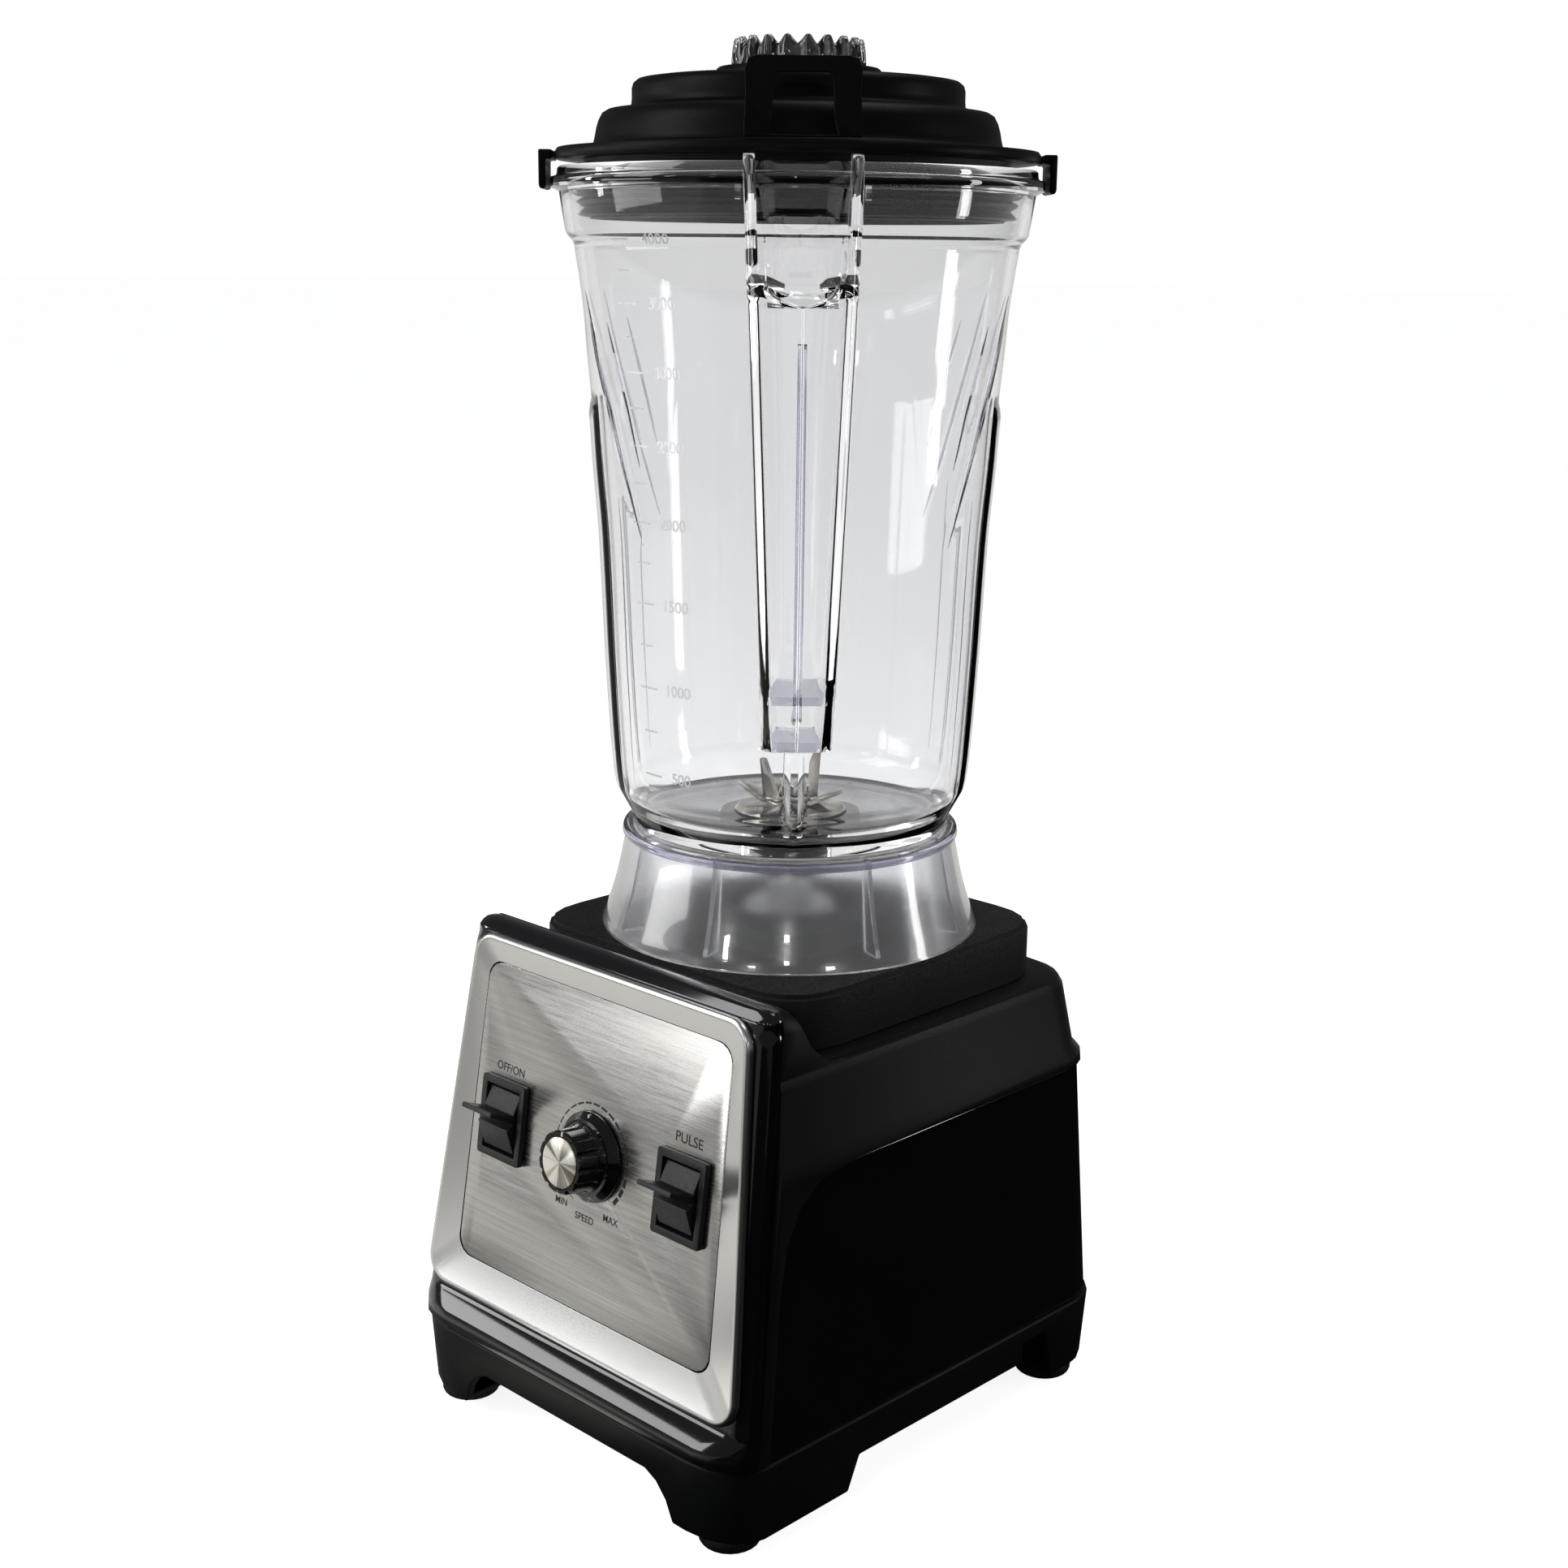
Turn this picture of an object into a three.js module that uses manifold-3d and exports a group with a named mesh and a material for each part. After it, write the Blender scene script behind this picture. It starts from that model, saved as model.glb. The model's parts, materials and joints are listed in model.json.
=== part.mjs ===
// Countertop blender: motor base with control panel, four-litre jug, blade set, lid and filler cap.
// Millimetres, +Z up, front toward -Y. Pieces are modelled about the jug's axis, and the whole
// group is then moved so that the middle of its footprint lies on the origin.
import * as THREE from "three";
import { mergeVertices } from "three/addons/utils/BufferGeometryUtils.js";
import Module from "manifold-3d";

const wasm = await Module();
wasm.setup();

// ---- driving dimensions -------------------------------------------------------------------
const GAP = 0.3; // clearance between neighbouring pieces
const JUG_AXIS_Y = 12.25; // jug axis from the middle of the footprint

const FOOT_RADIUS = 12.5;
const LEG_BOTTOM = 6;
const SEAM_Z = 38; // plinth to housing
const PLINTH = { halfWidth: 99.8, front: -130.5, rear: 106, wall: 4, rearRadius: 24 };
const ARCH_TOP = 24;
const FRONT_ARCH = { topHalf: 56, bottomHalf: 65 };
const SIDE_ARCH = { front: -58, rear: 61, flare: 6, top: 20.5, notchFront: 46, notchTop: 30 };

const WALL = 3; // housing wall
const LIP_Z = 151; // raised band around the housing
const DECK_Z = 187;
const FIN_TOP = 213.5;
const PAD = { half: 79.5, radius: 29, top: 210, bossHalf: 46, bossTop: 220, hole: 27 };

const PANEL = { y: -111.75, z: 131.45, lean: THREE.MathUtils.degToRad(7.88) };
const FRAME = { topHalf: 82, bottomHalf: 94, top: 78.3, bottom: -78.7, radius: 12, height: 3 };
const PLATE = { topHalf: 72.8, bottomHalf: 77, top: 67.2, bottom: -62.3, radius: 10 };
const CONTROL_V = 2.6; // height of the control row on the panel
const SWITCH = { u: 53.8, width: 27, height: 34.2, rim: 3.2, depth: 24, proud: 3 };
const KNOB = { radius: 13, skirt: 18.3, height: 17.5, cap: 10.2 };

const JUG_FLOOR = 254;
const JUG_RIM = 517;
const JUG_WALL = 3.2;
const FLANGE_Z = 519.8;
const HANDLE = { halfTop: 21.5, halfBottom: 13.2, top: 519, bottom: 305, wall: 4.5 };
const HANDLE_TURN = -Math.PI / 4; // the handle points over the front right corner
const SPLINE_TEETH = 12;
const BLADE_TURNS = { flat: 116, raised: 26, steep: 79 }; // degrees, how the blades happen to stand

const COLOURS = {
  satinBlack: 0x1b1d1e,
  glossBlack: 0x0a0a0c,
  rubber: 0x17181a,
  silver: 0xc9cbcd,
  brushed: 0xb4b1ac,
  clear: 0xdfe3ee,
  smoke: 0xb9bcd0,
  steel: 0xd4d6d8,
  copper: 0xb0703a,
  board: 0x2c6b3a,
};

// ---- solids -------------------------------------------------------------------------------
function toSolid(geometry) {
  const bare = new THREE.BufferGeometry();
  bare.setAttribute("position", geometry.getAttribute("position"));
  bare.setIndex(geometry.index);
  const merged = mergeVertices(bare, 1e-4);
  const mesh = new wasm.Mesh({
    numProp: 3,
    vertProperties: merged.attributes.position.array,
    triVerts: new Uint32Array(merged.index.array),
  });
  return new wasm.Manifold(mesh);
}

function toGeometry(solid) {
  const mesh = solid.getMesh();
  const geometry = new THREE.BufferGeometry();
  geometry.setAttribute("position", new THREE.BufferAttribute(mesh.vertProperties, 3));
  geometry.setIndex(new THREE.BufferAttribute(mesh.triVerts, 1));
  geometry.computeVertexNormals();
  return geometry;
}

function cut(body, ...tools) {
  return toGeometry(tools.reduce((solid, tool) => solid.subtract(toSolid(tool)), toSolid(body)));
}

function join(first, ...others) {
  return toGeometry(others.reduce((solid, other) => solid.add(toSolid(other)), toSolid(first)));
}

function common(first, second) {
  return toGeometry(toSolid(first).intersect(toSolid(second)));
}

// ---- shapes -------------------------------------------------------------------------------
// A solid of revolution about Z from [radius, z] points, counterclockwise.
function lathe(profile, segments = 32) {
  const points = profile.map(([radius, z]) => new THREE.Vector2(radius, z));
  return new THREE.LatheGeometry(points, segments).rotateX(Math.PI / 2);
}

// A ring of revolution: the profile is closed back on its first point.
function ring(profile, segments = 32) {
  return lathe([...profile, profile[0]], segments);
}

function tube(inner, outer, bottom, top, segments = 32) {
  return ring([[inner, bottom], [outer, bottom], [outer, top], [inner, top]], segments);
}

function disc(radius, bottom, top, segments = 32) {
  return lathe([[0, bottom], [radius, bottom], [radius, top], [0, top]], segments);
}

function box(width, depth, height, x, y, z) {
  return new THREE.BoxGeometry(width, depth, height).translate(x, y, z);
}

function outline(points) {
  return new THREE.Shape(points.map(([x, y]) => new THREE.Vector2(x, y)));
}

// A trapezoid with rounded corners, drawn counterclockwise from its bottom left.
function roundedTrapezoid({ topHalf, bottomHalf, top, bottom, radius }) {
  const lean = (bottomHalf - topHalf) / (top - bottom);
  const shape = new THREE.Shape();
  shape.moveTo(-bottomHalf + radius, bottom);
  shape.lineTo(bottomHalf - radius, bottom);
  shape.quadraticCurveTo(bottomHalf, bottom, bottomHalf - lean * radius, bottom + radius);
  shape.lineTo(topHalf + lean * radius, top - radius);
  shape.quadraticCurveTo(topHalf, top, topHalf - radius, top);
  shape.lineTo(-topHalf + radius, top);
  shape.quadraticCurveTo(-topHalf, top, -topHalf - lean * radius, top - radius);
  shape.lineTo(-bottomHalf + lean * radius, bottom + radius);
  shape.quadraticCurveTo(-bottomHalf, bottom, -bottomHalf + radius, bottom);
  return shape;
}

function roundedRectangle(halfWidth, halfHeight, radius) {
  return roundedTrapezoid({
    topHalf: halfWidth,
    bottomHalf: halfWidth,
    top: halfHeight,
    bottom: -halfHeight,
    radius,
  });
}

function prism(shape, bottom, top, curveSegments = 5) {
  const settings = { depth: top - bottom, bevelEnabled: false, curveSegments };
  return new THREE.ExtrudeGeometry(shape, settings).translate(0, 0, bottom);
}

// A [y, z] outline stretched along X between two stations.
function barAlongX(points, left, right) {
  const settings = { depth: right - left, bevelEnabled: false };
  const bar = new THREE.ExtrudeGeometry(outline(points), settings);
  return bar.rotateX(Math.PI / 2).rotateZ(Math.PI / 2).translate(left, 0, 0);
}

// An [x, z] outline stretched along Y between two stations.
function barAlongY(points, front, rear) {
  const settings = { depth: rear - front, bevelEnabled: false };
  return new THREE.ExtrudeGeometry(outline(points), settings)
    .rotateX(Math.PI / 2)
    .translate(0, rear, 0);
}

// A closed skin over level rings that all hold the same number of [x, y] points.
function loft(levels) {
  const count = levels[0].ring.length;
  const positions = levels.flatMap(({ z, ring: points }) => points.flatMap(([x, y]) => [x, y, z]));
  const faces = [];
  for (let level = 0; level < levels.length - 1; level += 1) {
    for (let i = 0; i < count; i += 1) {
      const a = level * count + i;
      const b = level * count + ((i + 1) % count);
      faces.push(a, b, b + count, a, b + count, a + count);
    }
  }
  const last = (levels.length - 1) * count;
  const first = levels[0].ring.map(([x, y]) => new THREE.Vector2(x, y));
  for (const [a, b, c] of THREE.ShapeUtils.triangulateShape(first, [])) {
    faces.push(a, c, b);
    faces.push(last + a, last + b, last + c);
  }
  const geometry = new THREE.BufferGeometry();
  geometry.setAttribute("position", new THREE.Float32BufferAttribute(positions, 3));
  geometry.setIndex(faces);
  return geometry;
}

// A quarter of an ellipse as [x, y] points, from one angle to another.
function arc(x, y, radiusX, radiusY, from, to, steps) {
  const points = [];
  for (let i = 0; i <= steps; i += 1) {
    const angle = from + ((to - from) * i) / steps;
    points.push([x + radiusX * Math.cos(angle), y + radiusY * Math.sin(angle)]);
  }
  return points;
}

// The base seen from above: swept front corners and round rear corners, counterclockwise.
function baseOutline(halfWidth, front, rear, sweep, rearRadius) {
  const { x: sweepX, y: sweepY } = sweep;
  const quarter = Math.PI / 2;
  return [
    ...arc(-halfWidth + sweepX, front + sweepY, sweepX, sweepY, -2 * quarter, -quarter, 4),
    ...arc(halfWidth - sweepX, front + sweepY, sweepX, sweepY, -quarter, 0, 4),
    ...arc(halfWidth - rearRadius, rear - rearRadius, rearRadius, rearRadius, 0, quarter, 5),
    ...arc(-halfWidth + rearRadius, rear - rearRadius, rearRadius, rearRadius, quarter, 2 * quarter, 5),
  ];
}

function repeat(count, make) {
  return Array.from({ length: count }, (unused, index) => make(index));
}

// ---- placing ------------------------------------------------------------------------------
const panelPlace = new THREE.Matrix4()
  .makeBasis(
    new THREE.Vector3(1, 0, 0),
    new THREE.Vector3(0, Math.sin(PANEL.lean), Math.cos(PANEL.lean)),
    new THREE.Vector3(0, -Math.cos(PANEL.lean), Math.sin(PANEL.lean)),
  )
  .setPosition(0, PANEL.y, PANEL.z);

function onPanel(geometry, u = 0, v = 0) {
  return geometry.translate(u, v, 0).applyMatrix4(panelPlace);
}

function towardHandle(geometry) {
  return geometry.rotateZ(HANDLE_TURN);
}

// The panel plane's distance forward at a height.
function panelY(z) {
  return PANEL.y + (z - PANEL.z) * Math.tan(PANEL.lean);
}

const group = new THREE.Group();
group.name = "countertop_blender";

function add(name, geometry, colour, options = {}) {
  const material = new THREE.MeshStandardMaterial({ color: colour, roughness: 0.5, ...options });
  const mesh = new THREE.Mesh(geometry, material);
  mesh.name = name;
  group.add(mesh);
}

const CLEAR = { transparent: true, opacity: 0.35, roughness: 0.1 };
const METAL = { metalness: 1, roughness: 0.3 };

// ---- motor base ---------------------------------------------------------------------------
function plinthRing(inset, z) {
  const draft = ((SEAM_Z - z) / SEAM_Z) * 2;
  return baseOutline(
    PLINTH.halfWidth - draft - inset,
    PLINTH.front + draft + inset,
    PLINTH.rear - draft - inset,
    { x: 26 - inset, y: 18 - inset },
    PLINTH.rearRadius - inset,
  );
}

function makePlinth() {
  const heights = [LEG_BOTTOM, SEAM_Z];
  const outer = loft(heights.map((z) => ({ z, ring: plinthRing(0, z) })));
  const hollow = loft([LEG_BOTTOM + 4, SEAM_Z + 1].map((z) => ({ z, ring: plinthRing(PLINTH.wall, z) })));
  const below = LEG_BOTTOM - 1;
  const frontArch = barAlongY(
    [
      [-FRONT_ARCH.bottomHalf, below],
      [FRONT_ARCH.bottomHalf, below],
      [FRONT_ARCH.topHalf + 5, 15],
      [FRONT_ARCH.topHalf, 21],
      [FRONT_ARCH.topHalf - 6, ARCH_TOP],
      [-FRONT_ARCH.topHalf + 6, ARCH_TOP],
      [-FRONT_ARCH.topHalf, 21],
      [-FRONT_ARCH.topHalf - 5, 15],
    ],
    PLINTH.front - 5,
    PLINTH.rear + 5,
  );
  const sideArch = barAlongX(
    [
      [SIDE_ARCH.front - SIDE_ARCH.flare, below],
      [SIDE_ARCH.rear + SIDE_ARCH.flare, below],
      [SIDE_ARCH.rear, SIDE_ARCH.notchTop],
      [SIDE_ARCH.notchFront, SIDE_ARCH.notchTop],
      [SIDE_ARCH.notchFront, SIDE_ARCH.top],
      [SIDE_ARCH.front, SIDE_ARCH.top],
    ],
    -PLINTH.halfWidth - 5,
    PLINTH.halfWidth + 5,
  );
  add("base_plinth", cut(outer, hollow, frontArch, sideArch), COLOURS.satinBlack);
}

function makeBottomPlate() {
  const plate = loft([31, 34].map((z) => ({ z, ring: plinthRing(PLINTH.wall + GAP, z) })));
  const slots = repeat(9, (i) => box(60, 5, 10, 0, -44 + i * 11, 32));
  add("bottom_plate", cut(plate, ...slots), COLOURS.satinBlack);
}

function makeFeet() {
  const places = {
    foot_front_left: [-81, -113],
    foot_front_right: [81, -113],
    foot_rear_left: [-84, 80],
    foot_rear_right: [84, 80],
  };
  for (const [name, [x, y]] of Object.entries(places)) {
    const profile = [[0, 0], [FOOT_RADIUS - 1.5, 0], [FOOT_RADIUS, 1.5], [FOOT_RADIUS, LEG_BOTTOM - GAP], [0, LEG_BOTTOM - GAP]];
    add(name, lathe(profile, 24).translate(x, y, 0), COLOURS.rubber, { roughness: 0.9 });
  }
}

// The housing between the front bezel and the rear: half width and rear at each height.
// A hollow's ring, with an inset, starts a little further forward so that it opens the front.
function housingRing(z, halfWidth, rear, inset) {
  const breakThrough = inset > 0 ? 1 : 0;
  const front = panelY(z) + 8 + GAP - breakThrough;
  const side = halfWidth - inset;
  const radius = PLINTH.rearRadius - inset;
  return [
    [-side, front],
    [side, front],
    ...arc(side - radius, rear - inset - radius, radius, radius, 0, Math.PI / 2, 6),
    ...arc(-side + radius, rear - inset - radius, radius, radius, Math.PI / 2, Math.PI, 6),
  ];
}

function housingLoft(stations, inset, shift = 0) {
  return loft(stations.map(([z, halfWidth, rear]) => ({ z: z + shift, ring: housingRing(z, halfWidth, rear, inset) })));
}

// The line between the upper and the lower housing, seen from the side.
function seamLine(offset) {
  return [
    [120, LIP_Z - 4 + offset],
    [-60, LIP_Z - 4 + offset],
    [-80, 144 + offset],
    [-91 - offset, 136 + offset],
    [-98 - offset, 124],
    [-102.5 - offset, 106],
    [-111 - offset, 30],
  ];
}

function makeUpperHousing() {
  const shell = [
    [SEAM_Z + GAP, 99.5, 105.6],
    [LIP_Z - 5, 95.3, 99.8],
    [LIP_Z, 95, 99.4],
    [LIP_Z + 4, 93, 96.2],
    [DECK_Z - 5, 90.2, 91],
    [DECK_Z - 1.5, 88.8, 89.4],
    [DECK_Z, 85.8, 86.4],
  ];
  const inner = [
    [SEAM_Z - 1, 99.5, 105.6],
    [LIP_Z - 5, 94.3, 98.8],
    [DECK_Z - 5, 89.6, 90.4],
    [DECK_Z - WALL, 88, 88],
  ];
  const fin = barAlongX(
    [
      [panelY(176) + 8 + GAP, 176],
      [-60, 176],
      [-60, DECK_Z - 0.5],
      [-68, DECK_Z],
      [-74, 191],
      [-79, 196],
      [-84, 205],
      [-88, 211],
      [-91.5, FIN_TOP],
      [panelY(FIN_TOP) + 8 + GAP, FIN_TOP],
    ],
    -88.5,
    88.5,
  );
  const finHollow = box(150, 10, 20, 0, -88, 180);
  const padRoom = prism(roundedRectangle(PAD.half + 1, PAD.half + 1, PAD.radius), DECK_Z, FIN_TOP + 5);
  const below = barAlongX([...seamLine(0), [120, 30]], -120, 120);
  const shaftHole = disc(34, DECK_Z - 10, DECK_Z + 10, 32);
  const body = cut(join(housingLoft(shell, 0), fin), housingLoft(inner, WALL), finHollow, padRoom, below, shaftHole);
  add("upper_housing", body, COLOURS.satinBlack);
}

function makeLowerHousing() {
  const stations = [
    [SEAM_Z + GAP, 98.8, 105],
    [LIP_Z, 93.8, 98.4],
  ];
  const hollow = [
    [SEAM_Z - 1, 98.8, 105],
    [LIP_Z + 1, 93.8, 98.4],
  ];
  const above = barAlongX([...seamLine(-GAP), [-140, 30], [-140, 200], [120, 200]], -120, 120);
  const inlet = box(28.6, 20, 20.6, 0, 100, 62);
  const body = cut(housingLoft(stations, 0), housingLoft(hollow, WALL), above, inlet);
  add("lower_housing", body, COLOURS.glossBlack);
}

function makePowerInlet() {
  const y = 100.2;
  const body = box(28, 22, 20, 0, y - 11, 62);
  const flange = box(34, 1.2, 26, 0, y + 5.1, 62);
  const neck = box(28, 6, 20, 0, y + 2, 62);
  const socket = prism(roundedRectangle(11, 7, 3), 0, 18).rotateX(Math.PI / 2).translate(0, y + 6, 62);
  const pins = [-7, 0, 7].map((x) => box(2, 14, 4, x, y - 8, x === 0 ? 64 : 60));
  add("power_inlet", join(cut(join(body, neck, flange), socket), ...pins), COLOURS.satinBlack);
}

function bezelRing(z, halfWidth, forward, back, sweepX, sweepY) {
  const front = panelY(z) - forward;
  const rear = panelY(z) + back;
  const quarter = Math.PI / 2;
  return [
    [-halfWidth, rear],
    ...arc(-halfWidth + sweepX, front + sweepY, sweepX, sweepY, -2 * quarter, -quarter, 4),
    ...arc(halfWidth - sweepX, front + sweepY, sweepX, sweepY, -quarter, 0, 4),
    [halfWidth, rear],
  ];
}

function makeBezel() {
  const outer = loft([
    { z: SEAM_Z + GAP, ring: bezelRing(SEAM_Z, 99.4, 5.5, 8, 24, 12) },
    { z: 45, ring: bezelRing(45, 99, 5, 8, 22, 10) },
    { z: 50, ring: bezelRing(50, 98.8, 1, 8, 14, 6) },
    { z: 53, ring: bezelRing(53, 98.6, 0, 8, 10, 5) },
    { z: 200, ring: bezelRing(200, 88.6, 0, 8, 8, 5) },
    { z: 209, ring: bezelRing(209, 87.6, 0, 8, 9, 5) },
    { z: 212.5, ring: bezelRing(212.5, 86, -2, 8, 11, 3) },
    { z: FIN_TOP, ring: bezelRing(FIN_TOP, 84, -4, 8, 11, 2) },
  ]);
  const opening = onPanel(prism(roundedTrapezoid({ ...PLATE, radius: 8 }), -20, 10));
  add("front_bezel", cut(outer, opening), COLOURS.glossBlack, { roughness: 0.08 });
}

function makeTrimFrame() {
  const bevel = 1.4;
  const inset = (shape, by) => ({
    topHalf: shape.topHalf - by,
    bottomHalf: shape.bottomHalf - by,
    top: shape.top - by,
    bottom: shape.bottom + by,
    radius: shape.radius,
  });
  const shape = roundedTrapezoid(inset(FRAME, bevel));
  shape.holes.push(roundedTrapezoid(inset(PLATE, -bevel)));
  const frame = new THREE.ExtrudeGeometry(shape, {
    depth: FRAME.height - 2 * bevel + 0.2,
    bevelThickness: bevel,
    bevelSize: bevel,
    bevelSegments: 1,
    curveSegments: 5,
  });
  add("trim_frame", onPanel(frame.translate(0, 0, bevel + GAP)), COLOURS.silver, METAL);
}

function switchOpening(u) {
  return box(SWITCH.width - 3, SWITCH.height - 3, 30, u, CONTROL_V, 0);
}

function makeControlPanel() {
  const fit = {
    topHalf: PLATE.topHalf - GAP,
    bottomHalf: PLATE.bottomHalf - GAP,
    top: PLATE.top - GAP,
    bottom: PLATE.bottom + GAP,
    radius: PLATE.radius,
  };
  const plate = prism(roundedTrapezoid(fit), -0.6, 1);
  const shaftHole = disc(4.2, -5, 5, 20).translate(0, CONTROL_V, 0);
  const panel = cut(plate, switchOpening(-SWITCH.u), switchOpening(SWITCH.u), shaftHole);
  add("control_panel", onPanel(panel), COLOURS.brushed, METAL);
}

// A rocker that turns in its housing about a level pin, with a flat lever standing out of it.
function makeSwitch(name, u) {
  const rim = prism(roundedRectangle(SWITCH.width / 2, SWITCH.height / 2, 1.2), 1 + GAP, 1 + SWITCH.proud, 2);
  const body = box(SWITCH.width - 4, SWITCH.height - 4, SWITCH.depth + 3, 0, 0, (3 - SWITCH.depth) / 2 + 0.5);
  const pocket = box(SWITCH.width - 2 * SWITCH.rim, SWITCH.height - 2 * SWITCH.rim, 20, 0, 0, -3);
  const housing = cut(join(rim, body), pocket);
  add(name + "_switch_housing", onPanel(housing, u, CONTROL_V), COLOURS.satinBlack);
  const profile = [
    [-6, -9],
    [6, -9],
    [12.2, -1],
    [12.6, 2.2],
    [4.4, 5.4],
    [4.6, 6.6],
    [7.4, 17.2],
    [5.4, 17.6],
    [1.2, 7.2],
    [0.6, 5.2],
    [-1.6, 8.2],
    [-12.4, 3.6],
    [-12.2, -1],
  ];
  const width = SWITCH.width - 2 * SWITCH.rim - 1.6;
  const rocker = barAlongX(profile, -width / 2, width / 2);
  add(name + "_paddle", onPanel(rocker, u, CONTROL_V), COLOURS.satinBlack);
}

function makeKnob() {
  const bodyShape = new THREE.Shape();
  const flutes = 12;
  repeat(flutes * 4, (i) => {
    const angle = (i / (flutes * 4)) * 2 * Math.PI;
    const radius = KNOB.radius - (i % 4 === 0 ? 0.9 : 0);
    const point = [radius * Math.cos(angle), radius * Math.sin(angle)];
    return i === 0 ? bodyShape.moveTo(...point) : bodyShape.lineTo(...point);
  });
  const skirtProfile = [[0, 1.6], [KNOB.skirt, 1.6], [KNOB.skirt, 2.6], [KNOB.skirt - 2.4, 5], [0, 5]];
  const shaftRoom = disc(3.2 + GAP, 0, 12, 20);
  const capRoom = disc(KNOB.cap + GAP, KNOB.height - 1, KNOB.height + 2, 32);
  const body = join(prism(bodyShape, 3, KNOB.height), lathe(skirtProfile, 40));
  add("speed_knob", onPanel(cut(body, shaftRoom, capRoom), 0, CONTROL_V), COLOURS.glossBlack);
  const cap = disc(KNOB.cap, KNOB.height - 1 + GAP, KNOB.height + 0.2, 32);
  add("knob_cap", onPanel(cap, 0, CONTROL_V), COLOURS.steel, METAL);
  add("potentiometer_shaft", onPanel(disc(3.2, -8, 11.6, 20), 0, CONTROL_V), COLOURS.steel, METAL);
  const pot = cut(disc(10.5, -18, -6.5, 24), disc(3.2 + GAP, -9, 0, 20));
  const bush = tube(3.2 + GAP, 4 - 0.1, -7, 1.2, 20);
  add("speed_potentiometer", onPanel(join(pot, bush), 0, CONTROL_V), COLOURS.steel, METAL);
  const nut = cut(disc(6, -3.6, -0.9, 6), disc(4 + GAP, -5, 0, 20));
  add("potentiometer_nut", onPanel(nut, 0, CONTROL_V), COLOURS.steel, METAL);
}

function makeSeatPad() {
  const { half, radius, top, bossHalf, bossTop, hole } = PAD;
  const slab = prism(roundedRectangle(half, half, radius), DECK_Z + GAP, top - 2);
  const crown = prism(roundedRectangle(half - 1.5, half - 1.5, radius - 1), top - 2.5, top);
  const boss = prism(roundedRectangle(bossHalf, bossHalf, 16), top - 1, bossTop);
  const well = disc(hole, DECK_Z - 5, bossTop + 5, 32);
  add("jug_seat_pad", cut(join(slab, crown, boss), well), COLOURS.rubber, { roughness: 0.95 });
}

// ---- motor --------------------------------------------------------------------------------
const MOTOR = { bottom: 92, top: 146, stator: 52, bore: 29, armature: 28, shaft: 5 };

function makeMotorFrame() {
  const stator = common(
    tube(MOTOR.bore, MOTOR.stator, MOTOR.bottom, MOTOR.top, 40),
    prism(roundedRectangle(46, 46, 8), MOTOR.bottom - 1, MOTOR.top + 1),
  );
  add("motor_stator", stator, COLOURS.steel, METAL);
  for (const [name, side] of [["left", -1], ["right", 1]]) {
    const coil = cut(box(14, 50, 8, side * 37, 0, MOTOR.top + 4.3), box(6, 30, 20, side * 37, 0, MOTOR.top + 4));
    add("field_coil_" + name, coil, COLOURS.copper, METAL);
  }
  const topPlate = cut(
    join(box(118, 34, 4, 0, 0, 164), disc(18, 158, 168, 32)),
    disc(13 + GAP, 158 + 2, 170, 32),
    disc(7, 150, 170, 24),
  );
  const topFeet = [-1, 1].map((side) => box(6, 34, 18, side * 56, 0, 157));
  add("motor_bracket_top", join(topPlate, ...topFeet), COLOURS.silver, METAL);
  const bottomPlate = cut(
    join(box(150, 34, 4, 0, 0, 66), disc(16, 62, 72, 32)),
    disc(11 + GAP, 64, 75, 32),
    disc(7, 55, 80, 24),
  );
  const bottomFeet = [-1, 1].map((side) => box(5, 34, 32, side * 72.5, 0, 50.4));
  add("motor_bracket_bottom", join(bottomPlate, ...bottomFeet), COLOURS.silver, METAL);
  add("bearing_top", tube(MOTOR.shaft + GAP, 13, 160 + GAP, 168, 28), COLOURS.steel, METAL);
  add("bearing_bottom", tube(MOTOR.shaft + GAP, 11, 64 + GAP, 72, 28), COLOURS.steel, METAL);
  for (const [name, side] of [["left", -1], ["right", 1]]) {
    add("brush_holder_" + name, box(24, 11, 10, side * 29, 0, 80.5), COLOURS.copper, METAL);
  }
  const shroud = cut(tube(46, 49, 34.4, 58, 40), box(30, 120, 12, 0, 0, 54));
  add("fan_shroud", shroud, COLOURS.satinBlack);
}

function makeRotor() {
  add("motor_shaft", disc(MOTOR.shaft, 42, 204, 24), COLOURS.steel, METAL);
  const slotted = new THREE.Shape();
  const teeth = 12;
  repeat(teeth * 4, (i) => {
    const angle = (i / (teeth * 4)) * 2 * Math.PI;
    const radius = i % 4 === 0 ? MOTOR.armature - 5 : MOTOR.armature;
    const point = [radius * Math.cos(angle), radius * Math.sin(angle)];
    return i === 0 ? slotted.moveTo(...point) : slotted.lineTo(...point);
  });
  const core = prism(slotted, MOTOR.bottom + 2, MOTOR.top - 2);
  add("armature", cut(core, disc(MOTOR.shaft + GAP, 80, 160, 24)), COLOURS.copper, METAL);
  add("commutator", tube(MOTOR.shaft + GAP, 16, 74, 88, 28), COLOURS.copper, METAL);
  const blades = repeat(9, (i) => box(28, 2, 12, 26, 0, 50).rotateZ((i / 9) * 2 * Math.PI));
  const fan = join(tube(MOTOR.shaft + GAP, 13, 43.5, 57, 28), tube(12, 43, 43.5, 45.5, 36), ...blades);
  add("cooling_fan", fan, COLOURS.satinBlack);
}

function splineOutline(root, crest) {
  const shape = new THREE.Shape();
  repeat(SPLINE_TEETH * 2, (i) => {
    const angle = (i / (SPLINE_TEETH * 2)) * 2 * Math.PI;
    const radius = i % 2 === 0 ? crest : root;
    const point = [radius * Math.cos(angle), radius * Math.sin(angle)];
    return i === 0 ? shape.moveTo(...point) : shape.lineTo(...point);
  });
  return shape;
}

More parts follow.
